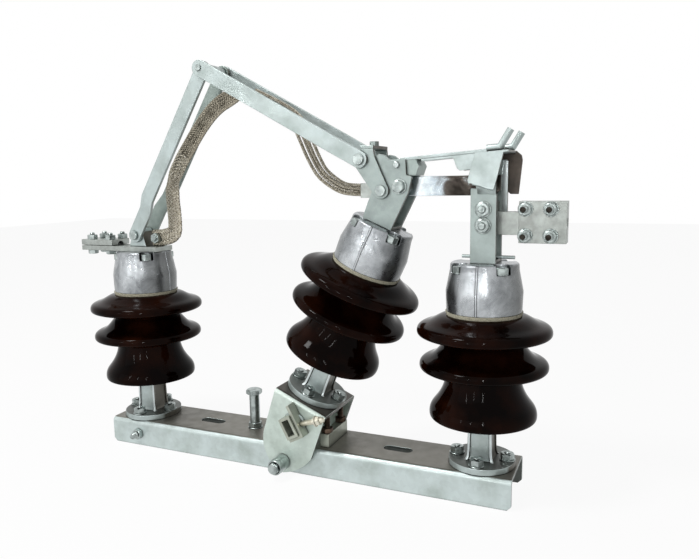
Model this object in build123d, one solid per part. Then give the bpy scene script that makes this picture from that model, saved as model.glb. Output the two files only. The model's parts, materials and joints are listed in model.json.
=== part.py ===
from build123d import *
import math
import os

# Single-pole disconnect switch for a substation: three cap-and-pin posts on an inverted steel
# channel. The middle post stands on a rocker and carries the blade; the outer posts are fixed.
# Frame: millimetres, +Z up, X along the channel with the jaw post on the +X side, -Y to the front.
# The origin is on the web's upper face, half way between the two mounting slots.

# Base channel, an inverted U
CHANNEL_LENGTH = 726.0
CHANNEL_WIDTH = 100.0
CHANNEL_HEIGHT = 46.0
CHANNEL_WALL = 5.0
CHANNEL_BEND_RADIUS = 8.0
CHANNEL_END_CHAMFER = 6.0
SLOT_LENGTH = 48.0
SLOT_WIDTH = 18.0
SLOT_SPACING = 352.0

# Posts, measured up from the seat of the base disc
POST_SPACING = 620.0
POST_HEIGHT = 305.0
DISC_RADIUS = 50.0
DISC_THICKNESS = 9.5
STEM_FOOT_WIDTH = 35.0
STEM_TOP_WIDTH = 29.0
STEM_BEAD_RADIUS = 3.5
STEM_BEAD_PROUD = 1.5
STEM_HEIGHT = 96.0
PIN_RADIUS = 12.0
PIN_TOP = POST_HEIGHT - 137.0
BOLT_CIRCLE = 76.2
BASE_BOLT_RADIUS = 5.0
BASE_NUT_FLATS = 17.0
BASE_NUT_HEIGHT = 8.0
BASE_WASHER_RADIUS = 10.5
BASE_WASHER_THICKNESS = 2.0
BASE_STUD_TIP = 5.0
NECK_RADIUS = 55.0
SHED_TOP_RADIUS = 98.0
SHED_TOP_LEVEL = POST_HEIGHT - 101.0
SHED_MIDDLE_RADIUS = 94.0
SHED_MIDDLE_LEVEL = POST_HEIGHT / 2
BELL_RADIUS = 79.0
BELL_LEVEL = SHED_MIDDLE_LEVEL - 73.0
SHED_EDGE = 6.5
SHED_UNDERCUT = 10.0
BELL_WALL = 10.0
PORCELAIN_HEAD_RADIUS = 40.0
PORCELAIN_HEAD_TOP = POST_HEIGHT - 23.0
CEMENT_RADIUS = 47.0
CEMENT_LIP_RADIUS = 56.0
CEMENT_LIP = 5.0
CAP_BOTTOM_LEVEL = POST_HEIGHT - 71.5
CAP_BOTTOM_RADIUS = 54.5
CAP_BELLY_LEVEL = POST_HEIGHT - 41.0
CAP_BELLY_RADIUS = 55.5
CAP_TOP_RADIUS = 49.0
CAP_CROWN = 18.0
CAP_POCKET_WIDTH = 23.0
CAP_POCKET_DEPTH = 14.0
CAP_POCKET_ANGLES = (45, 135, 225, 315)
CAP_SEAM_WIDTH = 3.0
CAP_SEAM_HEIGHT = 1.2
CAP_BOLT_REACH = 42.0
CAP_BOLT_FLATS = 17.0
CAP_BOLT_HEAD = 12.0

# Rocker, drawn upright about its pivot and then leaned to the closed position
PIVOT_LEVEL = -24.0
CLOSED_LEAN = 23.6
POST_OFFSET = -10.8
ROCKER_SEAT = 107.0
ROCKER_PLATE = 5.0
ROCKER_TOP_PLATE = 6.0
ROCKER_LEFT = -58.5
ROCKER_RIGHT = 37.5
ROCKER_BULGE = -51.0
ROCKER_FLANK = 42.0
ROCKER_WAIST = 30.0
ROCKER_JAW_RIGHT = (26.0, -2.0)
ROCKER_JAW_LEFT = (-37.0, 0.0)
ROCKER_NOSE_RADIUS = 20.0
ROCKER_BEND_RADIUS = 7.0
ROCKER_SIDE_GAP = 5.0
PIVOT_BOLT_RADIUS = 8.0
PIVOT_COLLAR_RADIUS = 12.5
PIVOT_COLLAR_LENGTH = 22.0
PIVOT_BOLT_TIP = 13.0
RUNNING_GAP = 0.05
SIDE_GAP = 1.0
SEAT_GAP = 0.3

# Drive tube through the rocker, with its clamp
TUBE_LENGTH_ACROSS = 35.0
TUBE_WIDTH = 21.0
TUBE_WALL = 4.5
TUBE_ANGLE = -39.0
TUBE_X = -5.0
TUBE_Z = 71.0
TUBE_STUB = 24.0
CLAMP_THICKNESS = 5.0
CLAMP_LEG = 30.0
CLAMP_DEPTH = 20.0
DRIVE_BOLT_RADIUS = 4.0
DRIVE_BOLT_LENGTH = 40.0
DRIVE_NUT_BACK = 14.0
DRIVE_NUT_HEIGHT = 10.0

# Stops on the channel
STOP_BOLT_X = -88.0
STOP_BOLT_RADIUS = 8.0
STOP_BOLT_HEIGHT = 69.0
STOP_HEAD_FLATS = 24.0
STOP_HEAD_HEIGHT = 10.0
STOP_NUT_HEIGHT = 13.0
STOP_BLOCK_X = 64.0
STOP_BLOCK_LENGTH = 74.0
STOP_BLOCK_WIDTH = 15.0
STOP_BLOCK_HEIGHT = 22.0
STOP_SCREW_RADIUS = 5.0
STOP_SCREW_Y = 26.0
STOP_SCREW_FLATS = 17.0
STOP_SCREW_HEAD = 7.0
STOP_GAP = 0.4
FLANGE_BOLT_X = -304.5
FLANGE_BOLT_RADIUS = 5.0
FLANGE_BOLT_REACH = 20.0

# Four-bar arms: foot hinge, apex and head pivot, in X and Z with the switch closed.
# The head pivot is set out from the middle post's axis and the top of its cap.
HEAD_PIVOT_ASIDE = -14.1
HEAD_PIVOT_RISE = 49.6
LEAN_COS = math.cos(math.radians(CLOSED_LEAN))
LEAN_SIN = math.sin(math.radians(CLOSED_LEAN))
HEAD_ACROSS = POST_OFFSET + HEAD_PIVOT_ASIDE
HEAD_ALONG = ROCKER_SEAT + POST_HEIGHT + HEAD_PIVOT_RISE
HEAD_PIVOT_X = HEAD_ACROSS * LEAN_COS + HEAD_ALONG * LEAN_SIN
HEAD_PIVOT_Z = PIVOT_LEVEL - HEAD_ACROSS * LEAN_SIN + HEAD_ALONG * LEAN_COS
FOOT_X = -POST_SPACING / 2
FOOT_Z = POST_HEIGHT + 29.0
APEX_X = FOOT_X + 167.0
APEX_Z = FOOT_Z + 272.0
BAR_WIDTH = 25.0
BAR_THICKNESS = 6.0
LOWER_BAR_Y = 25.0
LOWER_FOOT_Y = 16.0
LOWER_JOGGLE_START = 52.0
LOWER_JOGGLE_END = 76.0
UPPER_BAR_Y = 34.0
UPPER_JOGGLE_START = 53.0
UPPER_JOGGLE_END = 19.0
ARM_PIN_RADIUS = 5.0
PIN_HEAD_RADIUS = 8.0
PIN_HEAD = 4.0
PIN_TIP = 2.0
APEX_SPACER_RADIUS = 9.0
HEAD_PIN_RADIUS = 6.0
HEAD_PIN_HEAD_RADIUS = 8.0
HEAD_PIVOT_CLEARANCE = 5.0
LINK_EYE_RADIUS = 12.0
LINK_ELBOW_X = -32.0
LINK_ELBOW_Z = 46.0
LINK_THICKNESS = 5.0
BRIDGE_THICKNESS = 5.0
BRIDGE_LENGTH = 20.0
BRIDGE_RIGHT = 21.0
BRIDGE_RISE = 15.0

# Head bracket on the middle post; its corners are offsets in X and Z from the head pivot
HEAD_CORNERS = (
    (-31.7, -39.9),
    (-22.8, -16.8),
    (-15.5, 0.5),
    (-17.0, 30.0),
    (-12.0, 50.0),
    (-4.0, 53.3),
    (3.8, 51.6),
    (13.0, 44.5),
    (36.5, 45.5),
    (37.5, 22.1),
    (46.5, 20.0),
    (41.0, -2.5),
    (12.6, -59.2),
)
HEAD_CORNER_RADIUS = 2.5
HEAD_PLATE = 5.0
HEAD_INSIDE = 40.0
HEAD_FOOT = 5.0
HEAD_BOLT_RADIUS = 6.0
HEAD_BOLT_FLATS = 17.0
HEAD_BOLT_HEAD = 8.0
HEAD_WASHER_RADIUS = 10.0

# Blade, latch bar, hood and horns, level when closed
JAW_CENTRE_X = POST_SPACING / 2 + 2.0
BLADE_TOP = HEAD_PIVOT_Z + 20.0
BLADE_HEIGHT = 28.5
BLADE_THICKNESS = 6.0
BLADE_START = HEAD_PIVOT_X + 14.0
BLADE_BOLT_X = HEAD_PIVOT_X + 27.0
BLADE_TIP_CHAMFER = 8.0
BLADE_END = JAW_CENTRE_X + 20.0
LATCH_START = HEAD_PIVOT_X + 24.0
LATCH_START_Z = BLADE_TOP + 22.2
LATCH_END = JAW_CENTRE_X + 26.0
LATCH_END_Z = BLADE_TOP + 33.2
LATCH_WIDTH = 24.0
LATCH_THICKNESS = 5.0
LATCH_BOLT_X = HEAD_PIVOT_X + 23.0
LATCH_BOLT_Z = BLADE_TOP + 17.0
LATCH_BLOCK_LEFT = HEAD_PIVOT_X + 15.0
LATCH_BLOCK_RIGHT = HEAD_PIVOT_X + 55.5
LATCH_BLOCK_NOSE = 13.5
LATCH_BLOCK_SLANT = 5.0
HOOD_WALL = 3.0
HOOD_HALF_WIDTH = 32.0
HOOD_STRIP_START = JAW_CENTRE_X - 93.0
HOOD_LEFT = JAW_CENTRE_X - 10.5
HOOD_RIGHT = JAW_CENTRE_X + 35.0
HOOD_FRONT_RIGHT = JAW_CENTRE_X + 29.0
HOOD_FOLD = -11.0
HOOD_LIP_ANGLE = 25.0
# Corners of the hood's sheets, as offsets in X and Z from the jaw's centre and the blade's top
HOOD_TAB = ((-46.5, 27.0), (-40.0, 10.0), (-36.3, 7.0), (-28.4, 7.5), (-14.0, 9.0))
HOOD_FRONT_CHEEK = ((18.1, HOOD_FOLD), (-19.5, HOOD_FOLD), (-20.6, -6.3), (-16.6, 10.0))
HOOD_REAR_CHEEK = (
    (42.6, 27.5),
    (44.1, 20.5),
    (39.5, -27.7),
    (28.0, -27.6),
    (16.0, -17.0),
    (-19.0, -15.0),
)
# Flared lip under the front cheek, as offsets in X and down from the fold
HOOD_LIP = ((-15.5, 0.0), (17.5, 0.0), (16.5, -11.0), (7.0, -9.5), (-3.0, -5.5), (-14.0, -3.0))
HORN_RADIUS = 5.0
HORN_ANGLE = 59.0
HORN_FOOT = 18.0
# Each horn: its Y, where it turns up, and the length from there
HORNS = ((-18.0, JAW_CENTRE_X + 20.7, 28.0), (18.0, JAW_CENTRE_X + 32.0, 23.5))

# Jaw on the right post
JAW_WIDTH = 36.0
JAW_INSIDE = 38.0
JAW_PLATE = 5.0
JAW_TOP_FRONT = BLADE_TOP - 26.0
JAW_TOP_STEP = BLADE_TOP - 18.0
JAW_STEP = 10.0
JAW_ROD_RADIUS = 2.5
JAW_ROD_START = JAW_CENTRE_X - 35.0
JAW_ROD_END = JAW_CENTRE_X + 41.0
JAW_TOP_REAR = BLADE_TOP + 21.0
JAW_FOOT = 5.0
FINGER_THICKNESS = 4.0
FINGER_GAP = 0.5
FINGER_BLOCK_HEIGHT = 10.0
FINGER_RISE = 4.0
JAW_BOLT_RADIUS = 6.0
JAW_BOLT_FLATS = 17.0
JAW_BOLT_LEVELS = (BLADE_TOP - 47.0, BLADE_TOP - 70.0)

# Right-hand cable terminal
TANG_TOP = BLADE_TOP - 51.0
TANG_BOTTOM = BLADE_TOP - 84.0
TANG_THICKNESS = 8.0
CLAMP_LEFT = JAW_CENTRE_X + 47.0
CLAMP_RIGHT = CLAMP_LEFT + 64.0
CLAMP_TOP = BLADE_TOP - 36.5
CLAMP_BOTTOM = CLAMP_TOP - 58.0
CABLE_RADIUS = 7.0
CLAMP_PLATE = 12.0
CLAMP_PARTING = 1.0
CLAMP_BOLT_RADIUS = 4.0
CLAMP_NUT_FLATS = 13.0
CLAMP_NUT_HEIGHT = 7.0
CLAMP_BOLT_X = (CLAMP_LEFT + 9.0, CLAMP_LEFT + 43.0)
CLAMP_BOLT_Z = (CLAMP_TOP - 10.5, CLAMP_BOTTOM + 10.5)
CLAMP_BOLT_TIP = 8.0

# Left-hand cable terminal
PAD_LEFT = FOOT_X - 124.5
PAD_RIGHT = FOOT_X + 46.0
PAD_WIDTH = 46.0
PAD_THICKNESS = 8.5
PAD_CLAMP_RIGHT = PAD_LEFT + 72.0
PAD_CLAMP_THICKNESS = 10.0
PAD_BOLT_X = (PAD_LEFT + 20.0, PAD_LEFT + 63.0)
PAD_BOLT_Y = 15.5
PAD_BOLT_TIP = 3.0

# Flexible copper braid, bolted to an upright lug on the left terminal
BRAID_BOLT_X = FOOT_X + 35.0
BRAID_BOLT_RADIUS = 5.0
BRAID_BOLT_FLATS = 16.0
BRAID_BOLT_HEAD = 8.0
BRAID_TAIL = 11.0
BRAID_RUN = 37.0
BRAID_LUG_WIDTH = 20.0
BRAID_LUG_THICKNESS = 5.0
BRAID_WIDTH = 29.0
BRAID_THICKNESS = 6.0
BRAID_INNER_WIDTH = 24.0
# Where a braid runs beside an arm: share of the arm's length, and distance to its right-hand side
LOWER_BRAID_STATIONS = (
    (0.196, 48.4),
    (0.282, 28.1),
    (0.358, 14.3),
    (0.465, 12.2),
    (0.598, 16.6),
    (0.742, 22.5),
    (0.863, 33.9),
    (0.954, 54.7),
    (0.988, 58.7),
)
UPPER_BRAID_STATIONS = (
    (0.240, -7.0),
    (0.368, -11.5),
    (0.485, -12.0),
    (0.565, 6.4),
    (0.613, 18.4),
    (0.662, 28.6),
    (0.705, 36.1),
    (0.758, 38.2),
    (0.819, 37.5),
    (0.871, 29.3),
    (0.926, 16.5),
)
HEAD_LUG_LENGTH = 42.0
HEAD_LUG_WIDTH = 22.0
HEAD_LUG_THICKNESS = 3.0


def rod(radius, start, end):
    axis = Vector(*end) - Vector(*start)
    plane = Plane(origin=start, z_dir=axis)
    return plane * Cylinder(radius, axis.length, align=(Align.CENTER, Align.CENTER, Align.MIN))


def hexagon(flats, start, end):
    axis = Vector(*end) - Vector(*start)
    plane = Plane(origin=start, z_dir=axis)
    return extrude(plane * RegularPolygon(flats / 2, 6, major_radius=False), axis.length)


def box(x, y, z):
    """Box between two x values, two y values and two z values."""
    centre = ((x[0] + x[1]) / 2, (y[0] + y[1]) / 2, (z[0] + z[1]) / 2)
    return Pos(*centre) * Box(x[1] - x[0], y[1] - y[0], z[1] - z[0])


def front_plane(y_back):
    """Plane seen from the front: sketch x is X, sketch y is Z, and it extrudes towards -Y."""
    return Plane(origin=(0, y_back, 0), x_dir=(1, 0, 0), z_dir=(0, -1, 0))


def plate(face, y_front, y_back):
    return extrude(front_plane(y_back) * face, y_back - y_front)


def one(shape):
    """The single solid of a shape, or its solids as a compound."""
    solids = shape.solids()
    return solids[0] if len(solids) == 1 else Compound(children=list(solids))


def group(*shapes):
    """Solids that do not touch, kept together as one piece of the assembly."""
    return Compound(children=[solid for shape in shapes for solid in shape.solids()])


def lean(shape):
    """From the rocker's upright frame to its place with the switch closed."""
    return Pos(0, 0, PIVOT_LEVEL) * Rot(0, CLOSED_LEAN, 0) * shape


def leaned(x, z):
    """A point of the rocker's upright frame, as X and Z with the switch closed."""
    return x * LEAN_COS + z * LEAN_SIN, PIVOT_LEVEL - x * LEAN_SIN + z * LEAN_COS


def upright(x, z):
    """A point of the closed switch, in the rocker's upright frame."""
    rise = z - PIVOT_LEVEL
    return x * LEAN_COS - rise * LEAN_SIN, x * LEAN_SIN + rise * LEAN_COS


def bolt_places(radius):
    """Four places on the bolt circle, on the X and Y axes."""
    return [(radius * math.cos(a), radius * math.sin(a)) for a in (0, math.pi / 2, math.pi, 3 * math.pi / 2)]


def base_pin():
    """Cast base: a disc, a square tapered stem with edge beads, and the pin cemented in the porcelain."""
    disc = Cylinder(DISC_RADIUS, DISC_THICKNESS, align=(Align.CENTER, Align.CENTER, Align.MIN))
    for x, y in bolt_places(BOLT_CIRCLE / 2):
        disc -= rod(BASE_BOLT_RADIUS + RUNNING_GAP, (x, y, -1), (x, y, DISC_THICKNESS + 1))
    low = STEM_FOOT_WIDTH - 2 * STEM_BEAD_PROUD
    high = STEM_TOP_WIDTH - 2 * STEM_BEAD_PROUD
    stem = loft([Plane.XY * Rectangle(low, low), Plane.XY.offset(STEM_HEIGHT) * Rectangle(high, high)])
    foot = STEM_FOOT_WIDTH / 2 - STEM_BEAD_RADIUS
    top = STEM_TOP_WIDTH / 2 - STEM_BEAD_RADIUS
    for x in (-1, 1):
        for y in (-1, 1):
            stem += rod(STEM_BEAD_RADIUS, (x * foot, y * foot, 1), (x * top, y * top, STEM_HEIGHT - 1))
    return one(disc + stem + rod(PIN_RADIUS, (0, 0, STEM_HEIGHT - 1), (0, 0, PIN_TOP)))


def porcelain():
    """Three-shed porcelain: two flat sheds and a bell skirt that is hollow underneath."""
    head = CAP_BOTTOM_LEVEL - CEMENT_LIP
    shoulder = PORCELAIN_HEAD_RADIUS
    above = (NECK_RADIUS, head)
    outline = Polyline((0, PORCELAIN_HEAD_TOP), (shoulder, PORCELAIN_HEAD_TOP), (shoulder, head), above)
    for radius, level, start in (
        (SHED_TOP_RADIUS, SHED_TOP_LEVEL, (1, -0.1)),
        (SHED_MIDDLE_RADIUS, SHED_MIDDLE_LEVEL, (0.8, -0.6)),
    ):
        rim = (radius, level)
        below = (NECK_RADIUS, level - SHED_EDGE - SHED_UNDERCUT)
        outline += Spline(above, (radius - 15, level + 12.5), rim, tangents=(start, (0, -1)))
        outline += Spline(rim, (radius - 12, level - SHED_EDGE), below, tangents=((0, -1), (-0.7, -1)))
        above = below
    rim = (BELL_RADIUS, BELL_LEVEL)
    outline += Spline(above, (BELL_RADIUS - 9, BELL_LEVEL + 20), rim, tangents=((0.1, -1), (0, -1)))
    foot = (BELL_RADIUS - BELL_WALL / 2, BELL_LEVEL - SHED_EDGE)
    outline += Spline(rim, foot, (BELL_RADIUS - BELL_WALL, BELL_LEVEL), tangents=((0, -1), (0, 1)))
    cave = STEM_HEIGHT + 10
    outline += Polyline(
        (BELL_RADIUS - BELL_WALL, BELL_LEVEL),
        (NECK_RADIUS - 8, cave),
        (STEM_FOOT_WIDTH, cave),
        (STEM_FOOT_WIDTH - 4, BELL_LEVEL + 4),
        (STEM_FOOT_WIDTH - 9, BELL_LEVEL + 4),
        (STEM_FOOT_WIDTH - 9, STEM_HEIGHT + RUNNING_GAP),
        (PIN_RADIUS + RUNNING_GAP, STEM_HEIGHT + RUNNING_GAP),
        (PIN_RADIUS + RUNNING_GAP, PIN_TOP + RUNNING_GAP),
        (0, PIN_TOP + RUNNING_GAP),
        (0, PORCELAIN_HEAD_TOP),
    )
    return one(revolve(Plane.XZ * make_face(outline), Axis.Z))


def cement_ring():
    """Cement between the porcelain head and the cap, with the pale lip that shows under the cap."""
    inner = PORCELAIN_HEAD_RADIUS + RUNNING_GAP
    lip_bottom = CAP_BOTTOM_LEVEL - CEMENT_LIP + RUNNING_GAP
    outline = Polyline(
        (inner, PORCELAIN_HEAD_TOP - 6),
        (CEMENT_RADIUS, PORCELAIN_HEAD_TOP - 6),
        (CEMENT_RADIUS, CAP_BOTTOM_LEVEL - RUNNING_GAP),
        (CEMENT_LIP_RADIUS, CAP_BOTTOM_LEVEL - RUNNING_GAP),
        (CEMENT_LIP_RADIUS - 1.5, lip_bottom),
        (inner, lip_bottom),
        close=True,
    )
    return one(revolve(Plane.XZ * make_face(outline), Axis.Z))


def cap(seam_angle):
    """Cast cap: a belly, a slimmer crown with four open bolt pockets, and two mould seams."""
    inner = CEMENT_RADIUS + RUNNING_GAP
    ceiling = POST_HEIGHT - CAP_CROWN
    side = [
        (CAP_TOP_RADIUS - 2, POST_HEIGHT),
        (CAP_TOP_RADIUS, POST_HEIGHT - 2),
        (CAP_TOP_RADIUS + 0.5, POST_HEIGHT - 10),
        (CAP_BELLY_RADIUS, CAP_BELLY_LEVEL),
        (CAP_BOTTOM_RADIUS, CAP_BOTTOM_LEVEL),
    ]
    hollow = [(inner, CAP_BOTTOM_LEVEL), (inner, ceiling - 6), (inner - 6, ceiling), (0, ceiling)]
    body = revolve(Plane.XZ * make_face(Polyline((0, POST_HEIGHT), *side, *hollow, close=True)), Axis.Z)
    proud = [(x + CAP_SEAM_HEIGHT, z) for x, z in side]
    ridge = make_face(Polyline((inner + 1, side[0][1]), *proud, (inner + 1, side[-1][1]), close=True))
    for turn in (seam_angle, seam_angle + 180):
        body += Rot(0, 0, turn) * plate(ridge, -CAP_SEAM_WIDTH / 2, CAP_SEAM_WIDTH / 2)
    floor = POST_HEIGHT - CAP_POCKET_DEPTH
    slot = box(
        (CAP_BOLT_REACH, CAP_BELLY_RADIUS + 2),
        (-CAP_POCKET_WIDTH / 2, CAP_POCKET_WIDTH / 2),
        (floor, POST_HEIGHT + 1),
    )
    reach = CAP_BOLT_REACH
    pocket = slot + rod(CAP_POCKET_WIDTH / 2, (reach, 0, floor), (reach, 0, POST_HEIGHT + 1))
    for turn in CAP_POCKET_ANGLES:
        body -= Rot(0, 0, turn) * pocket
    return one(body)


def cap_bolts():
    """Hexagon heads that lie in the cap's pockets."""
    seat = POST_HEIGHT - CAP_POCKET_DEPTH
    head = hexagon(CAP_BOLT_FLATS, (CAP_BOLT_REACH, 0, seat), (CAP_BOLT_REACH, 0, seat + CAP_BOLT_HEAD))
    return [Rot(0, 0, turn) * head for turn in CAP_POCKET_ANGLES]


def base_bolts(grip):
    """Four studs with nuts on the disc; grip is the thickness of the plate under the disc."""
    pieces = []
    for x, y in bolt_places(BOLT_CIRCLE / 2):
        low = -grip - (BASE_NUT_HEIGHT if abs(x) > 1 else 0)
        top = DISC_THICKNESS + BASE_WASHER_THICKNESS + BASE_NUT_HEIGHT
        bolt = rod(BASE_BOLT_RADIUS, (x, y, low), (x, y, top + BASE_STUD_TIP))
        washer = DISC_THICKNESS + BASE_WASHER_THICKNESS
        bolt += rod(BASE_WASHER_RADIUS, (x, y, DISC_THICKNESS), (x, y, washer))
        bolt += hexagon(BASE_NUT_FLATS, (x, y, washer), (x, y, top))
        if abs(x) > 1:
            bolt += hexagon(BASE_NUT_FLATS, (x, y, -grip - BASE_NUT_HEIGHT), (x, y, -grip))
        pieces.append(one(bolt))
    return pieces


def channel():
    """Inverted U with rounded bends, chamfered flange ends, two slots and the bolt holes."""
    half = CHANNEL_WIDTH / 2
    outer = Pos(0, -CHANNEL_HEIGHT / 2 - CHANNEL_BEND_RADIUS / 2) * RectangleRounded(
        CHANNEL_WIDTH, CHANNEL_HEIGHT + CHANNEL_BEND_RADIUS, CHANNEL_BEND_RADIUS
    )
    section = outer - Pos(0, -CHANNEL_HEIGHT - half) * Rectangle(2 * CHANNEL_WIDTH, CHANNEL_WIDTH)
    inner_height = CHANNEL_HEIGHT - CHANNEL_WALL + CHANNEL_BEND_RADIUS
    inner = Pos(0, -CHANNEL_WALL - inner_height / 2) * RectangleRounded(
        CHANNEL_WIDTH - 2 * CHANNEL_WALL, inner_height, CHANNEL_BEND_RADIUS - CHANNEL_WALL
    )
    section -= inner
    end = Plane(origin=(-CHANNEL_LENGTH / 2, 0, 0), x_dir=(0, 1, 0), z_dir=(1, 0, 0))
    body = extrude(end * section, CHANNEL_LENGTH)
    cut = CHANNEL_END_CHAMFER * math.sqrt(2)
    for side in (-1, 1):
        corner = Pos(side * CHANNEL_LENGTH / 2, 0, -CHANNEL_HEIGHT) * Rot(0, 45, 0)
        body -= corner * Box(cut, 2 * CHANNEL_WIDTH, cut)
        slot = Plane.XY.offset(1) * Pos(side * SLOT_SPACING / 2, 0) * SlotOverall(SLOT_LENGTH, SLOT_WIDTH)
        body -= extrude(slot, -CHANNEL_WALL - 2)
        for x, y in bolt_places(BOLT_CIRCLE / 2):
            place = side * POST_SPACING / 2 + x
            body -= rod(BASE_BOLT_RADIUS + RUNNING_GAP, (place, y, -CHANNEL_WALL - 1), (place, y, 1))
    body -= rod(PIVOT_BOLT_RADIUS + RUNNING_GAP, (0, -half - 1, PIVOT_LEVEL), (0, half + 1, PIVOT_LEVEL))
    body -= rod(STOP_BOLT_RADIUS + RUNNING_GAP, (STOP_BOLT_X, 0, -CHANNEL_WALL - 1), (STOP_BOLT_X, 0, 1))
    x = STOP_BLOCK_X
    for y in (-STOP_SCREW_Y, STOP_SCREW_Y):
        body -= rod(STOP_SCREW_RADIUS + RUNNING_GAP, (x, y, -CHANNEL_WALL - 1), (x, y, 1))
    x = FLANGE_BOLT_X
    radius = FLANGE_BOLT_RADIUS + RUNNING_GAP
    body -= rod(radius, (x, -half - 1, PIVOT_LEVEL), (x, -half + CHANNEL_WALL + 1, PIVOT_LEVEL))
    return one(body)


def rocker_half():
    """Half the width between the rocker's side plates."""
    return CHANNEL_WIDTH / 2 + ROCKER_SIDE_GAP


def pivot_bolt():
    """Bolt through both flanges and both rocker plates, with spacer rings and end collars."""
    inner = rocker_half()
    outer = inner + ROCKER_PLATE
    far = outer + SIDE_GAP + PIVOT_COLLAR_LENGTH
    body = rod(PIVOT_BOLT_RADIUS, (0, -far - PIVOT_BOLT_TIP, PIVOT_LEVEL), (0, far, PIVOT_LEVEL))
    for side in (-1, 1):
        start = side * (outer + SIDE_GAP)
        body += rod(PIVOT_COLLAR_RADIUS, (0, start, PIVOT_LEVEL), (0, side * far, PIVOT_LEVEL))
        start = side * (CHANNEL_WIDTH / 2 + RUNNING_GAP)
        body += rod(PIVOT_COLLAR_RADIUS, (0, start, PIVOT_LEVEL), (0, side * (inner - SIDE_GAP), PIVOT_LEVEL))
    return one(body)


def stop_bolt():
    """Adjustable stop for the open position: a hexagon bolt, head up, with lock nuts at the web."""
    x = STOP_BOLT_X
    body = rod(STOP_BOLT_RADIUS, (x, 0, -CHANNEL_WALL - STOP_NUT_HEIGHT), (x, 0, STOP_BOLT_HEIGHT))
    body += hexagon(STOP_HEAD_FLATS, (x, 0, STOP_BOLT_HEIGHT - STOP_HEAD_HEIGHT), (x, 0, STOP_BOLT_HEIGHT))
    body += hexagon(STOP_HEAD_FLATS, (x, 0, 0), (x, 0, STOP_NUT_HEIGHT))
    body += hexagon(STOP_HEAD_FLATS, (x, 0, -CHANNEL_WALL - STOP_NUT_HEIGHT), (x, 0, -CHANNEL_WALL))
    return one(body)


def seat_height(x):
    """Height of the underside of the closed rocker's top plate above a given X."""
    under = ROCKER_SEAT - ROCKER_TOP_PLATE
    along = (x - under * LEAN_SIN) / LEAN_COS
    return PIVOT_LEVEL - along * LEAN_SIN + under * LEAN_COS


def stop_block():
    """Folded bracket on the web that carries the two closing-stop screws."""
    half = STOP_BLOCK_WIDTH / 2
    x = STOP_BLOCK_X
    body = box((x - half, x + half), (-STOP_BLOCK_LENGTH / 2, STOP_BLOCK_LENGTH / 2), (0, STOP_BLOCK_HEIGHT))
    for side in (-1, 1):
        y = side * STOP_SCREW_Y
        body -= rod(STOP_SCREW_RADIUS + RUNNING_GAP, (x, y, -1), (x, y, STOP_BLOCK_HEIGHT + 1))
    return one(body)


def stop_screws():
    """Two screws whose heads meet the underside of the closed rocker."""
    x = STOP_BLOCK_X
    top = seat_height(x + STOP_SCREW_FLATS / math.sqrt(3)) - STOP_GAP
    pieces = []
    for side in (-1, 1):
        y = side * STOP_SCREW_Y
        body = rod(STOP_SCREW_RADIUS, (x, y, -CHANNEL_WALL - BASE_NUT_HEIGHT), (x, y, top))
        body += hexagon(STOP_SCREW_FLATS, (x, y, top - STOP_SCREW_HEAD), (x, y, top))
        lock = STOP_BLOCK_HEIGHT
        body += hexagon(STOP_SCREW_FLATS, (x, y, lock), (x, y, lock + BASE_NUT_HEIGHT))
        body += hexagon(STOP_SCREW_FLATS, (x, y, -CHANNEL_WALL - BASE_NUT_HEIGHT), (x, y, -CHANNEL_WALL))
        pieces.append(one(body))
    return pieces


def flange_bolt():
    """Earthing screw through the front flange."""
    wall = CHANNEL_WIDTH / 2
    x = FLANGE_BOLT_X
    level = PIVOT_LEVEL
    inside = -wall + CHANNEL_WALL
    start = (x, -wall - FLANGE_BOLT_REACH, level)
    body = rod(FLANGE_BOLT_RADIUS, start, (x, inside + BASE_NUT_HEIGHT, level))
    body += hexagon(BASE_NUT_FLATS, (x, -wall - BASE_NUT_HEIGHT, level), (x, -wall, level))
    body += hexagon(BASE_NUT_FLATS, (x, inside, level), (x, inside + BASE_NUT_HEIGHT - 2, level))
    return one(body)


def rocker_outline():
    """Shield shape of the rocker's side plates, about the pivot."""
    nose = ROCKER_NOSE_RADIUS
    left = (ROCKER_BULGE, ROCKER_WAIST)
    right = (ROCKER_FLANK, ROCKER_WAIST)
    low_left = (-nose * 0.35, -nose * 0.94)
    low_right = (nose * 0.35, -nose * 0.94)
    outline = Polyline(left, (ROCKER_LEFT, ROCKER_SEAT), (ROCKER_RIGHT, ROCKER_SEAT), right)
    outline += ThreePointArc(right, ROCKER_JAW_RIGHT, low_right)
    outline += ThreePointArc(low_right, (0, -nose), low_left)
    outline += ThreePointArc(low_left, ROCKER_JAW_LEFT, left)
    return make_face(outline)


def tube_plane():
    """Plane across the drive tube, seen from the front, in the rocker's upright frame."""
    return Pos(TUBE_X, TUBE_Z) * Rot(0, 0, TUBE_ANGLE)


def rocker_bracket():
    """Folded bracket astride the channel: a top plate for the post and two shield-shaped sides."""
    inner = rocker_half()
    outer = inner + ROCKER_PLATE
    shield = rocker_outline()
    body = plate(shield, -outer, outer)
    under = ROCKER_SEAT - ROCKER_TOP_PLATE
    body -= box((-CHANNEL_WIDTH, CHANNEL_WIDTH), (-inner, inner), (-CHANNEL_WIDTH, under))
    edges = body.edges().filter_by(Axis.X).group_by(Axis.Z)[-1]
    body = fillet(edges, ROCKER_BEND_RADIUS)
    body -= rod(PIVOT_BOLT_RADIUS + RUNNING_GAP, (0, -outer - 1, 0), (0, outer + 1, 0))
    socket = Rectangle(TUBE_LENGTH_ACROSS + 2 * RUNNING_GAP, TUBE_WIDTH + 2 * RUNNING_GAP)
    body -= plate(tube_plane() * socket, -outer - 1, outer + 1)
    for x, y in bolt_places(BOLT_CIRCLE / 2):
        place = POST_OFFSET + x
        body -= rod(BASE_BOLT_RADIUS + RUNNING_GAP, (place, y, under - 1), (place, y, ROCKER_SEAT + 1))
    return lean(one(body))


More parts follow.
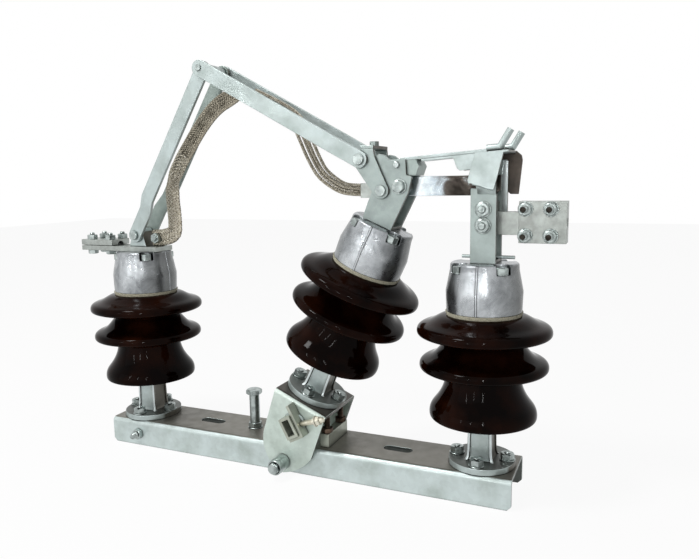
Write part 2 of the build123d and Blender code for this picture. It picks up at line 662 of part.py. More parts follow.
def drive_tube():
    """Rectangular tube through both side plates, which the operating rod turns."""
    outer = rocker_half() + ROCKER_PLATE
    bore = Rectangle(TUBE_LENGTH_ACROSS - 2 * TUBE_WALL, TUBE_WIDTH - 2 * TUBE_WALL)
    section = Rectangle(TUBE_LENGTH_ACROSS, TUBE_WIDTH) - bore
    return lean(one(plate(tube_plane() * section, -outer - TUBE_STUB, outer)))


def drive_clamp():
    """Angle that grips two sides of the drive tube in front of the rocker."""
    outer = rocker_half() + ROCKER_PLATE
    half_l = TUBE_LENGTH_ACROSS / 2
    half_w = TUBE_WIDTH / 2 + RUNNING_GAP
    thick = CLAMP_THICKNESS
    outline = Polyline(
        (-half_l - CLAMP_LEG / 2, half_w),
        (-half_l - CLAMP_LEG / 2, half_w + thick),
        (half_l + thick + RUNNING_GAP, half_w + thick),
        (half_l + thick + RUNNING_GAP, -half_w),
        (half_l + RUNNING_GAP, -half_w),
        (half_l + RUNNING_GAP, half_w),
        close=True,
    )
    front = -outer - CLAMP_DEPTH
    return lean(one(plate(tube_plane() * make_face(outline), front, -outer - RUNNING_GAP)))


def drive_bolt():
    """Clamp bolt that pulls the angle against the tube, with its nut near the far end."""
    angle = math.radians(TUBE_ANGLE + 90)
    edge = TUBE_WIDTH / 2 + CLAMP_THICKNESS + 2 * RUNNING_GAP
    y = -rocker_half() - ROCKER_PLATE - CLAMP_DEPTH / 2

    def along(reach):
        return TUBE_X + reach * math.cos(angle), y, TUBE_Z + reach * math.sin(angle)

    end = edge + DRIVE_BOLT_LENGTH
    body = rod(DRIVE_BOLT_RADIUS, along(edge), along(end))
    nut = end - DRIVE_NUT_BACK
    body += hexagon(CLAMP_NUT_FLATS, along(nut), along(nut + DRIVE_NUT_HEIGHT))
    return lean(one(body))


def head_outline():
    """Outline of a head plate in the upright frame: stepped at the top right, square on the cap."""
    corners = [upright(HEAD_PIVOT_X + x, HEAD_PIVOT_Z + z) for x, z in HEAD_CORNERS]
    face = make_face(Polyline(*corners, close=True))
    top = ROCKER_SEAT + POST_HEIGHT + HEAD_FOOT
    return fillet(face.vertices().filter_by(lambda v: v.Y > top), HEAD_CORNER_RADIUS)


def head_bracket():
    """Folded bracket bolted on the middle cap: a foot and two upright plates."""
    inside = HEAD_INSIDE / 2
    outside = inside + HEAD_PLATE
    floor = ROCKER_SEAT + POST_HEIGHT + HEAD_FOOT
    body = plate(head_outline(), -outside, outside)
    reach = CHANNEL_WIDTH
    body -= box((POST_OFFSET - reach, POST_OFFSET + reach), (-inside, inside), (floor, floor + 2 * reach))
    x, z = upright(HEAD_PIVOT_X, HEAD_PIVOT_Z)
    body -= rod(HEAD_PIN_RADIUS + HEAD_PIVOT_CLEARANCE, (x, -outside - 1, z), (x, outside + 1, z))
    for bx, bz, radius in head_bolt_places():
        body -= rod(radius + RUNNING_GAP, (bx, -outside - 1, bz), (bx, outside + 1, bz))
    return lean(one(body))


def head_bolt_places():
    """Blade bolt and latch bolt: X and Z in the upright frame, and radius."""
    blade = upright(BLADE_BOLT_X, BLADE_TOP - BLADE_HEIGHT / 2)
    latch = upright(LATCH_BOLT_X, LATCH_BOLT_Z)
    return [(*blade, HEAD_BOLT_RADIUS), (*latch, HEAD_BOLT_RADIUS / 2)]


def head_bolts():
    """Bolts across the head bracket, each with a head in front and a nut behind."""
    outside = HEAD_INSIDE / 2 + HEAD_PLATE
    pieces = []
    for x, z, radius in head_bolt_places():
        flats = HEAD_BOLT_FLATS * radius / HEAD_BOLT_RADIUS
        height = HEAD_BOLT_HEAD * radius / HEAD_BOLT_RADIUS
        body = rod(radius, (x, -outside - height, z), (x, outside + height, z))
        body += hexagon(flats, (x, -outside - height, z), (x, -outside, z))
        body += hexagon(flats, (x, outside, z), (x, outside + height, z))
        pieces.append(lean(one(body)))
    return pieces


def main_blade():
    """Flat copper blade on edge, with a tapered tip that enters the jaw."""
    top = BLADE_TOP
    low = BLADE_TOP - BLADE_HEIGHT
    outline = Polyline(
        (BLADE_START, low),
        (BLADE_END - BLADE_TIP_CHAMFER, low),
        (BLADE_END, low + BLADE_TIP_CHAMFER),
        (BLADE_END, top),
        (BLADE_START, top),
        close=True,
    )
    body = plate(make_face(outline), -BLADE_THICKNESS / 2, BLADE_THICKNESS / 2)
    x, z, radius = head_bolt_places()[0]
    x, z = leaned(x, z)
    body -= rod(radius + RUNNING_GAP, (x, -BLADE_THICKNESS, z), (x, BLADE_THICKNESS, z))
    return one(body)


def blade_spacers():
    """Two rings on the blade bolt that keep the blade midway between the head plates."""
    x, z, radius = head_bolt_places()[0]
    x, z = leaned(x, z)
    near = BLADE_THICKNESS / 2
    far = HEAD_INSIDE / 2
    rings = []
    for side in (-1, 1):
        ring = rod(HEAD_WASHER_RADIUS, (x, side * near, z), (x, side * far, z))
        rings.append(ring - rod(radius + RUNNING_GAP, (x, side * (near - 1), z), (x, side * (far + 1), z)))
    return rings


def latch_bar():
    """Flat bar laid over the head, rising gently to the hood."""
    angle = math.degrees(math.atan2(LATCH_END_Z - LATCH_START_Z, LATCH_END - LATCH_START))
    length = math.hypot(LATCH_END_Z - LATCH_START_Z, LATCH_END - LATCH_START)
    bar = box((0, length), (-LATCH_WIDTH / 2, LATCH_WIDTH / 2), (0, LATCH_THICKNESS))
    bar = Pos(LATCH_START, 0, LATCH_START_Z) * Rot(0, -angle, 0) * bar
    return one(bar)


def latch_slope():
    return (LATCH_END_Z - LATCH_START_Z) / (LATCH_END - LATCH_START)


def latch_underside(x):
    """Height of the latch bar's lower face at a given X."""
    return LATCH_START_Z + latch_slope() * (x - LATCH_START)


def latch_block():
    """Block between the head plates that carries the latch bar on the small bolt."""
    x, z, radius = head_bolt_places()[1]
    x, z = leaned(x, z)
    left, right = LATCH_BLOCK_LEFT, LATCH_BLOCK_RIGHT
    neck = right - LATCH_BLOCK_SLANT
    low = BLADE_TOP + SIDE_GAP
    outline = Polyline(
        (left, low + 8),
        (left, LATCH_START_Z - 1),
        (LATCH_START, latch_underside(LATCH_START) - RUNNING_GAP),
        (neck, latch_underside(neck) - RUNNING_GAP),
        (right, low + LATCH_BLOCK_NOSE),
        (neck, low),
        (left + 12, low),
        close=True,
    )
    width = HEAD_INSIDE / 2 - RUNNING_GAP
    body = plate(make_face(outline), -width, width)
    return one(body - rod(radius + RUNNING_GAP, (x, -width - 1, z), (x, width + 1, z)))


def roof_strip(left, right):
    """Sheet under the latch bar between two X values, as a face seen from the front."""
    upper = [(left, latch_underside(left)), (right, latch_underside(right))]
    lower = [(x, z - HOOD_WALL) for x, z in reversed(upper)]
    return make_face(Polyline(*upper, *lower, close=True))


def jaw_hood():
    """Folded sheet hood under the latch bar: a strip with two side tabs, then cheeks beside the jaw."""
    half = HOOD_HALF_WIDTH
    wall = HOOD_WALL

    def sheet(start, end, corners):
        """Sheet face between two X values at the roof, with its lower corners after them."""
        lower = [(JAW_CENTRE_X + x, BLADE_TOP + z) for x, z in corners]
        roof = [(x, latch_underside(x)) for x in (start, end)]
        return make_face(Polyline(*roof, *lower, close=True))

    edge = LATCH_WIDTH / 2
    body = plate(roof_strip(HOOD_STRIP_START, HOOD_RIGHT), -edge - wall, edge + wall)
    body += plate(roof_strip(HOOD_LEFT, HOOD_RIGHT), -half, half)
    tab = sheet(JAW_CENTRE_X + HOOD_TAB[0][0], HOOD_LEFT + wall, HOOD_TAB[::-1])
    front = sheet(HOOD_LEFT, HOOD_FRONT_RIGHT, HOOD_FRONT_CHEEK)
    rear = sheet(HOOD_LEFT, HOOD_RIGHT, HOOD_REAR_CHEEK)
    for face, side, y in ((tab, -1, edge), (tab, 1, edge), (front, -1, half - wall), (rear, 1, half - wall)):
        body += plate(face, *sorted((side * y, side * (y + wall))))
    lip = plate(make_face(Polyline(*HOOD_LIP, close=True)), -wall, 0)
    body += Pos(JAW_CENTRE_X, wall - half, BLADE_TOP + HOOD_FOLD) * Rot(-HOOD_LIP_ANGLE, 0, 0) * lip
    return one(body)


def horn_rods():
    """Two arcing horns that lie on the hood beside the latch bar and then turn up."""
    c = math.cos(math.radians(HORN_ANGLE))
    s = math.sin(math.radians(HORN_ANGLE))
    pieces = []
    for y, x, length in HORNS:
        z = latch_underside(x) + HORN_RADIUS
        horn = rod(HORN_RADIUS, (x, y, z), (x + length * c, y, z + length * s))
        horn += rod(HORN_RADIUS, (x - HORN_FOOT, y, z - HORN_FOOT * latch_slope()), (x, y, z))
        horn += Pos(x, y, z) * Sphere(HORN_RADIUS)
        pieces.append(one(horn))
    return pieces


def jaw_post():
    """Two upright plates on the right cap, joined by a foot; the front plate is stepped at the top."""
    half = JAW_WIDTH / 2
    inside = JAW_INSIDE / 2
    outside = inside + JAW_PLATE
    x = JAW_CENTRE_X
    body = box((x - half, x + half), (-outside, outside), (POST_HEIGHT, POST_HEIGHT + JAW_FOOT))
    body += box((x - half, x + half), (-outside, -inside), (POST_HEIGHT, JAW_TOP_FRONT))
    body += box((x - half, x - half + JAW_STEP), (-outside, -inside), (JAW_TOP_FRONT, JAW_TOP_STEP))
    body += box((x - half, x + half), (inside, outside), (POST_HEIGHT, JAW_TOP_REAR))
    for z in JAW_BOLT_LEVELS:
        body -= rod(JAW_BOLT_RADIUS + RUNNING_GAP, (x, -outside - 1, z), (x, outside + 1, z))
    return one(body)


def jaw_foot_rod():
    """Plain rod that rests along the jaw's foot and stands out on both sides."""
    z = POST_HEIGHT + JAW_FOOT + SEAT_GAP + JAW_ROD_RADIUS
    return one(rod(JAW_ROD_RADIUS, (JAW_ROD_START, 0, z), (JAW_ROD_END, 0, z)))


def jaw_fingers():
    """Contact fingers either side of the blade, standing on a common block."""
    near = BLADE_THICKNESS / 2 + FINGER_GAP
    half = JAW_WIDTH / 2 - 4
    x = JAW_CENTRE_X
    low, high = JAW_BOLT_LEVELS[1] - FINGER_BLOCK_HEIGHT, JAW_BOLT_LEVELS[0] + FINGER_BLOCK_HEIGHT
    block = box((x - half, x + half), (-JAW_INSIDE / 2, JAW_INSIDE / 2), (low, high))
    for z in JAW_BOLT_LEVELS:
        block -= rod(JAW_BOLT_RADIUS + RUNNING_GAP, (x, -JAW_INSIDE, z), (x, JAW_INSIDE, z))
    body = block
    for side in (-1, 1):
        inner, outer = sorted((side * near, side * (near + FINGER_THICKNESS)))
        body += box((x - half, x + half), (inner, outer), (high - 1, BLADE_TOP + FINGER_RISE))
    return one(body)


def jaw_bolts():
    """Two bolts across the jaw with large hexagon heads in front."""
    outside = JAW_INSIDE / 2 + JAW_PLATE
    x = JAW_CENTRE_X
    pieces = []
    for z in JAW_BOLT_LEVELS:
        body = rod(JAW_BOLT_RADIUS, (x, -outside - HEAD_BOLT_HEAD, z), (x, outside + HEAD_BOLT_HEAD, z))
        body += hexagon(JAW_BOLT_FLATS, (x, -outside - HEAD_BOLT_HEAD, z), (x, -outside, z))
        body += hexagon(JAW_BOLT_FLATS, (x, outside, z), (x, outside + HEAD_BOLT_HEAD, z))
        pieces.append(one(body))
    return pieces


def terminal_tang():
    """Flat tang from the jaw to the cable clamp."""
    start = JAW_CENTRE_X + JAW_WIDTH / 2 - 4
    half = TANG_THICKNESS / 2
    body = box((start + RUNNING_GAP, CLAMP_LEFT - RUNNING_GAP), (-half, half), (TANG_BOTTOM, TANG_TOP))
    return one(body)


def cable_height():
    return (CLAMP_TOP + CLAMP_BOTTOM) / 2


def clamp_plate(side):
    """One half of the cable clamp: a thick plate with a half-round groove along X."""
    inner = CLAMP_PARTING / 2
    y = sorted((side * inner, side * (inner + CLAMP_PLATE)))
    body = box((CLAMP_LEFT, CLAMP_RIGHT), y, (CLAMP_BOTTOM, CLAMP_TOP))
    z = cable_height()
    body -= rod(CABLE_RADIUS, (CLAMP_LEFT - 1, 0, z), (CLAMP_RIGHT + 1, 0, z))
    for x in CLAMP_BOLT_X:
        for level in CLAMP_BOLT_Z:
            start = (x, -2 * CLAMP_PLATE, level)
            body -= rod(CLAMP_BOLT_RADIUS + RUNNING_GAP, start, (x, 2 * CLAMP_PLATE, level))
    return one(body)


def clamp_bolts():
    """Four studs through the cable clamp, nuts in front and heads behind."""
    face = CLAMP_PARTING / 2 + CLAMP_PLATE
    pieces = []
    for x in CLAMP_BOLT_X:
        for z in CLAMP_BOLT_Z:
            front = -face - CLAMP_NUT_HEIGHT - CLAMP_BOLT_TIP
            body = rod(CLAMP_BOLT_RADIUS, (x, front, z), (x, face + CLAMP_NUT_HEIGHT, z))
            body += hexagon(CLAMP_NUT_FLATS, (x, -face - CLAMP_NUT_HEIGHT, z), (x, -face, z))
            body += hexagon(CLAMP_NUT_FLATS, (x, face, z), (x, face + CLAMP_NUT_HEIGHT, z))
            pieces.append(one(body))
    return pieces


def terminal_plate():
    """Flat terminal on the left cap, with a half-round cable groove at its outer end."""
    half = PAD_WIDTH / 2
    top = POST_HEIGHT + PAD_THICKNESS
    body = box((PAD_LEFT, PAD_RIGHT), (-half, half), (POST_HEIGHT, top))
    z = top + CLAMP_PARTING / 2
    body -= rod(CABLE_RADIUS, (PAD_LEFT - 1, 0, z), (PAD_CLAMP_RIGHT, 0, z))
    for x, y in pad_bolt_places():
        body -= rod(CLAMP_BOLT_RADIUS + RUNNING_GAP, (x, y, POST_HEIGHT - 1), (x, y, top + 1))
    return one(body)


def pad_bolt_places():
    return [(x, side * PAD_BOLT_Y) for x in PAD_BOLT_X for side in (-1, 1)]


def terminal_clamp():
    """Upper half of the left cable clamp."""
    half = PAD_WIDTH / 2
    low = POST_HEIGHT + PAD_THICKNESS + CLAMP_PARTING
    body = box((PAD_LEFT, PAD_CLAMP_RIGHT), (-half, half), (low, low + PAD_CLAMP_THICKNESS))
    z = low - CLAMP_PARTING / 2
    body -= rod(CABLE_RADIUS, (PAD_LEFT - 1, 0, z), (PAD_CLAMP_RIGHT + 1, 0, z))
    for x, y in pad_bolt_places():
        body -= rod(CLAMP_BOLT_RADIUS + RUNNING_GAP, (x, y, low - 1), (x, y, low + PAD_CLAMP_THICKNESS + 1))
    return one(body)


def terminal_bolts():
    """Four clamp bolts, heads below and nuts above."""
    top = POST_HEIGHT + PAD_THICKNESS + CLAMP_PARTING + PAD_CLAMP_THICKNESS
    pieces = []
    for x, y in pad_bolt_places():
        under = POST_HEIGHT - CLAMP_NUT_HEIGHT
        body = rod(CLAMP_BOLT_RADIUS, (x, y, under), (x, y, top + CLAMP_NUT_HEIGHT + PAD_BOLT_TIP))
        body += hexagon(CLAMP_NUT_FLATS, (x, y, top), (x, y, top + CLAMP_NUT_HEIGHT))
        body += hexagon(CLAMP_NUT_FLATS, (x, y, under), (x, y, POST_HEIGHT))
        pieces.append(one(body))
    return pieces


def arm_bracket():
    """Hinge block on the terminal plate for the feet of the lower arm."""
    base = POST_HEIGHT + PAD_THICKNESS
    half = BAR_WIDTH / 2
    width = LOWER_FOOT_Y - SIDE_GAP
    left, right = FOOT_X - half, FOOT_X + half
    outline = Polyline((right, FOOT_Z), (right + 6, base), (left - 6, base), (left, FOOT_Z))
    outline += ThreePointArc((left, FOOT_Z), (FOOT_X, FOOT_Z + half), (right, FOOT_Z))
    body = plate(make_face(outline), -width, width)
    radius = ARM_PIN_RADIUS + RUNNING_GAP
    return one(body - rod(radius, (FOOT_X, -width - 1, FOOT_Z), (FOOT_X, width + 1, FOOT_Z)))


def foot_pin():
    """Hinge pin of the lower arm with a head at each end."""
    outer = LOWER_FOOT_Y + BAR_THICKNESS + SIDE_GAP
    end = outer + PIN_HEAD
    body = rod(ARM_PIN_RADIUS, (FOOT_X, -end, FOOT_Z), (FOOT_X, end, FOOT_Z))
    for side in (-1, 1):
        body += rod(PIN_HEAD_RADIUS, (FOOT_X, side * outer, FOOT_Z), (FOOT_X, side * end, FOOT_Z))
    return one(body)


def arm_plane(x, z, towards_x, towards_z):
    """Frame at a pivot with X along an arm and Y to the back; Z is across the arm."""
    angle = math.degrees(math.atan2(towards_z - z, towards_x - x))
    return Pos(x, 0, z) * Rot(0, -angle, 0)


def joggled_bar(length, near, far, start, end):
    """Flat bar along X between two pivots; its inner face steps from near to far between start and end."""
    thick = BAR_THICKNESS
    half = BAR_WIDTH / 2
    outline = Polyline(
        (-half, near),
        (start, near),
        (end, far),
        (length + half, far),
        (length + half, far + thick),
        (end, far + thick),
        (start, near + thick),
        (-half, near + thick),
        close=True,
    )
    bar = extrude(Plane.XY.offset(-half) * make_face(outline), BAR_WIDTH)
    shape = Pos(length / 2, 0) * SlotOverall(length + BAR_WIDTH, BAR_WIDTH)
    bar &= extrude(front_plane(CHANNEL_WIDTH) * shape, 2 * CHANNEL_WIDTH)
    for x in (0, length):
        bar -= rod(ARM_PIN_RADIUS + RUNNING_GAP, (x, 0, 0), (x, CHANNEL_WIDTH, 0))
    return bar


def lower_arm_bar(side):
    """Flat bar from the foot hinge to the apex, joggled outwards above the foot."""
    length = math.hypot(APEX_X - FOOT_X, APEX_Z - FOOT_Z)
    bar = joggled_bar(length, LOWER_FOOT_Y, LOWER_BAR_Y, LOWER_JOGGLE_START, LOWER_JOGGLE_END)
    if side < 0:
        bar = mirror(bar, Plane.XZ)
    return one(arm_plane(FOOT_X, FOOT_Z, APEX_X, APEX_Z) * bar)


def elbow():
    """Place of the bolt that joins the upper arm to its dog-leg links."""
    return HEAD_PIVOT_X + LINK_ELBOW_X, HEAD_PIVOT_Z + LINK_ELBOW_Z


def upper_bar_end():
    """Inner face of the upper bar where it lies against its link."""
    return link_thickness_start() + LINK_THICKNESS + RUNNING_GAP


def upper_arm_bar(side):
    """Flat bar from the apex to the elbow bolt, joggled inwards to lie against its link."""
    end_x, end_z = elbow()
    length = math.hypot(end_x - APEX_X, end_z - APEX_Z)
    start, end = length - UPPER_JOGGLE_START, length - UPPER_JOGGLE_END
    bar = joggled_bar(length, UPPER_BAR_Y, upper_bar_end(), start, end)
    if side < 0:
        bar = mirror(bar, Plane.XZ)
    return one(arm_plane(APEX_X, APEX_Z, end_x, end_z) * bar)


def apex_pin():
    """Pin at the apex through both arms, with a spacer tube inside and a collar between each two bars."""
    outer = UPPER_BAR_Y + BAR_THICKNESS + PIN_TIP
    inner = LOWER_BAR_Y - SIDE_GAP
    body = rod(ARM_PIN_RADIUS, (APEX_X, -outer, APEX_Z), (APEX_X, outer, APEX_Z))
    body += rod(APEX_SPACER_RADIUS, (APEX_X, -inner, APEX_Z), (APEX_X, inner, APEX_Z))
    low = LOWER_BAR_Y + BAR_THICKNESS + SEAT_GAP
    high = UPPER_BAR_Y - RUNNING_GAP
    for side in (-1, 1):
        body += rod(PIN_HEAD_RADIUS, (APEX_X, side * low, APEX_Z), (APEX_X, side * high, APEX_Z))
    return one(body)


def link_thickness_start():
    return HEAD_INSIDE / 2 + HEAD_PLATE + SIDE_GAP


def link_plate(side):
    """Dog-leg plate from the upper arm's elbow bolt down to the head pivot."""
    ex, ez = elbow()
    px, pz = HEAD_PIVOT_X, HEAD_PIVOT_Z
    half = BAR_WIDTH / 2
    dx, dz = px - ex, pz - ez
    reach = math.hypot(dx, dz)
    nx, nz = -dz / reach, dx / reach
    eye = LINK_EYE_RADIUS
    bridge_x, bridge_z = bridge_place()
    outline = Polyline(
        (ex - nx * half, ez - nz * half),
        (px - nx * eye, pz - nz * eye),
        (px, pz),
        (px + nx * eye, pz + nz * eye),
        (bridge_x + 1, bridge_z - BRIDGE_LENGTH / 2),
        (bridge_x, bridge_z),
        (bridge_x - BRIDGE_LENGTH, bridge_z),
        close=True,
    )
    face = make_face(outline) + Pos(px, pz) * Circle(eye) + Pos(ex, ez) * Circle(half)
    start = link_thickness_start()
    y = sorted((side * start, side * (start + LINK_THICKNESS)))
    body = plate(face, y[0], y[1])
    body -= rod(HEAD_PIN_RADIUS + RUNNING_GAP, (px, y[0] - 1, pz), (px, y[1] + 1, pz))
    body -= rod(ARM_PIN_RADIUS + RUNNING_GAP, (ex, y[0] - 1, ez), (ex, y[1] + 1, ez))
    return one(body)


def bridge_place():
    """Right-hand end of the dog-leg plates' upper edge, where the bridge plate lies."""
    ex, ez = elbow()
    return ex + BRIDGE_RIGHT, ez + BRIDGE_RISE


def link_bridge():
    """Plate across the tops of the two dog-leg links, with its upright bolt head."""
    x, z = bridge_place()
    z += RUNNING_GAP
    top = z + BRIDGE_THICKNESS
    middle = x - BRIDGE_LENGTH / 2
    half = link_thickness_start() + LINK_THICKNESS
    body = box((x - BRIDGE_LENGTH, x), (-half, half), (z, top))
    body += hexagon(CLAMP_NUT_FLATS, (middle, 0, top), (middle, 0, top + CLAMP_NUT_HEIGHT))
    return one(body)


def head_pin():
    """Pin of the dog-leg links through the head bracket."""
    start = link_thickness_start() + LINK_THICKNESS + RUNNING_GAP
    end = start + PIN_HEAD - 1
    x, z = HEAD_PIVOT_X, HEAD_PIVOT_Z
    body = rod(HEAD_PIN_RADIUS, (x, -end, z), (x, end, z))
    for side in (-1, 1):
        body += rod(HEAD_PIN_HEAD_RADIUS, (x, side * start, z), (x, side * end, z))
    return one(body)


def elbow_bolts():
    """Short bolts that join each upper bar to its link."""
    ex, ez = elbow()
    start = link_thickness_start()
    outer = upper_bar_end() + BAR_THICKNESS
    end = outer + PIN_HEAD
    pieces = []
    for side in (-1, 1):
        body = rod(ARM_PIN_RADIUS, (ex, side * start, ez), (ex, side * end, ez))
        body += rod(PIN_HEAD_RADIUS, (ex, side * outer, ez), (ex, side * end, ez))
        pieces.append(one(body))
    return pieces


def braid_bolt_height():
    """The lower braid's edge lies just above the terminal plate."""
    return POST_HEIGHT + PAD_THICKNESS + SEAT_GAP + BRAID_WIDTH / 2


def braid_anchor():
    """Upright lug behind the braid's foot, with the bolt that holds the braid."""
    x, z = BRAID_BOLT_X, braid_bolt_height()
    back = BRAID_THICKNESS / 2 + SEAT_GAP
    half = BRAID_LUG_WIDTH / 2
    base = POST_HEIGHT + PAD_THICKNESS
    body = box((x - half, x + half), (back, back + BRAID_LUG_THICKNESS), (base, z + half))
    front = -BRAID_THICKNESS / 2 - SEAT_GAP
    rear = back + BRAID_LUG_THICKNESS
    height = BRAID_BOLT_HEAD
    body += rod(BRAID_BOLT_RADIUS, (x, front - height - 4, z), (x, rear + height + 1, z))
    body += hexagon(BRAID_BOLT_FLATS, (x, front - height, z), (x, front, z))
    body += hexagon(BRAID_BOLT_FLATS, (x, rear, z), (x, rear + height, z))
    return one(body)


def beside(start, end, stations):
    """Points beside a line between two pivots, each by its share of the line and its distance."""
    run = Vector(*end) - Vector(*start)
    along = run.normalized()
    points = []
    for share, aside in stations:
        point = Vector(*start) + run * share + Vector(along.Y, -along.X) * aside
        points.append((point.X, point.Y))
    return points


def lower_braid_route():
    """Points of the lower braid in X and Z, from the terminal up to behind the upper arm."""
    z = braid_bolt_height()
    start = [(BRAID_BOLT_X - BRAID_TAIL, z), (BRAID_BOLT_X + BRAID_RUN, z)]
    return start + beside((FOOT_X, FOOT_Z), (APEX_X, APEX_Z), LOWER_BRAID_STATIONS)


def upper_braid_route():
    """Points of the upper braid in X and Z, along the upper arm and down to its lug."""
    return beside((APEX_X, APEX_Z), (HEAD_PIVOT_X, HEAD_PIVOT_Z), UPPER_BRAID_STATIONS)


def head_lug():
    """Lug on the head pin that ends the upper braid, lying against the braid's front face."""
    x, z = HEAD_PIVOT_X, HEAD_PIVOT_Z
    front = -BRAID_THICKNESS / 2 - SEAT_GAP - HEAD_LUG_THICKNESS
    half = HEAD_LUG_WIDTH / 2
    face = Pos(x - HEAD_LUG_LENGTH / 2, z) * Rectangle(HEAD_LUG_LENGTH, HEAD_LUG_WIDTH)
    face += Pos(x, z) * Circle(half)
    body = plate(face, front, front + HEAD_LUG_THICKNESS)
    return one(body - rod(HEAD_PIN_RADIUS + RUNNING_GAP, (x, front - 1, z), (x, 1, z)))


def ribbon(points, radii, width):
    """Flat braid seen from the front: straight runs joined by tangent arcs, of one width."""
    path = FilletPolyline(*points, radius=radii)
    face = trace(path, width)
    return plate(face, -BRAID_THICKNESS / 2, BRAID_THICKNESS / 2)


def corner_radii(points):
    """Arc radius at each inner corner: as large as its two runs allow."""
    radii = []
    for a, b, c in zip(points, points[1:], points[2:]):
        before, after = Vector(*b) - Vector(*a), Vector(*c) - Vector(*b)
        turn = before.get_angle(after)
        radii.append(0.45 * min(before.length, after.length) / math.tan(math.radians(turn / 2)))
    return radii


def braid_lower():
    """Braid from the terminal bolt up between the lower arm's bars to the apex."""
    points = lower_braid_route()
    body = ribbon(points, corner_radii(points), BRAID_WIDTH)
    x, z = BRAID_BOLT_X, braid_bolt_height()
    return one(body - rod(BRAID_BOLT_RADIUS + RUNNING_GAP, (x, -BRAID_WIDTH, z), (x, BRAID_WIDTH, z)))


def braid_upper():
    """Braid that leaves the upper arm and loops down to its lug on the link."""
    points = upper_braid_route()
    return one(ribbon(points, corner_radii(points), BRAID_INNER_WIDTH))


def on_post(side, shape):
    return Pos(side * POST_SPACING / 2, 0, 0) * shape


def on_rocker(shape):
    return lean(Pos(POST_OFFSET, 0, ROCKER_SEAT) * shape)


def build():
    parts = {
        "base_channel": channel(),
        "pivot_bolt": pivot_bolt(),
        "stop_bolt": stop_bolt(),
        "stop_block": stop_block(),
        "stop_screws": group(*stop_screws()),
        "flange_bolt": flange_bolt(),
        "rocker_bracket": rocker_bracket(),
        "drive_tube": drive_tube(),
        "drive_clamp": drive_clamp(),
        "drive_bolt": drive_bolt(),
        "head_bracket": head_bracket(),
        "head_bolts": group(*head_bolts()),
        "main_blade": main_blade(),
        "blade_spacers": group(*blade_spacers()),
        "latch_bar": latch_bar(),
        "latch_block": latch_block(),
        "jaw_hood": jaw_hood(),
        "horn_rods": group(*horn_rods()),
        "jaw_post": jaw_post(),
        "jaw_foot_rod": jaw_foot_rod(),
        "jaw_fingers": jaw_fingers(),
        "jaw_bolts": group(*jaw_bolts()),
        "terminal_tang": terminal_tang(),
        "right_clamp": group(clamp_plate(-1), clamp_plate(1)),
        "clamp_bolts": group(*clamp_bolts(), *terminal_bolts()),
        "terminal_plate": terminal_plate(),
        "left_clamp": terminal_clamp(),
        "arm_bracket": arm_bracket(),
        "foot_pin": foot_pin(),
        "lower_arm_bars": group(lower_arm_bar(-1), lower_arm_bar(1)),
        "upper_arm_bars": group(upper_arm_bar(-1), upper_arm_bar(1)),
        "apex_pin": apex_pin(),
        "link_plates": group(link_plate(-1), link_plate(1)),
        "link_bridge": link_bridge(),
        "head_pin": head_pin(),
        "elbow_bolts": group(*elbow_bolts()),
        "braid_anchor": braid_anchor(),
        "braid_lower": braid_lower(),
        "braid_upper": braid_upper(),
        "head_lug": head_lug(),
    }
    pin, body, ring = base_pin(), porcelain(), cement_ring()
    for name, side, seam in (("left", -1, 0), ("right", 1, 90)):
        parts[name + "_base_pin"] = on_post(side, pin)
        parts[name + "_porcelain"] = on_post(side, body)
        parts[name + "_cap"] = on_post(side, cap(seam))
    parts["centre_base_pin"] = on_rocker(pin)
    parts["centre_porcelain"] = on_rocker(body)
    parts["centre_cement_ring"] = on_rocker(ring)
    parts["centre_cap"] = on_rocker(cap(90))
    parts["centre_bolts"] = group(*[on_rocker(b) for b in base_bolts(ROCKER_TOP_PLATE) + cap_bolts()])
    sides = (-1, 1)
    parts["outer_cement_rings"] = group(*[on_post(s, ring) for s in sides])
    bolts = base_bolts(CHANNEL_WALL) + cap_bolts()
    parts["outer_bolts"] = group(*[on_post(s, b) for s in sides for b in bolts])
    return parts


os.makedirs("parts", exist_ok=True)
for part_name, part_shape in build().items():
    export_step(part_shape, "parts/" + part_name + ".step")
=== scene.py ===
import json
import math
import random

import bpy
from mathutils import Matrix, Vector

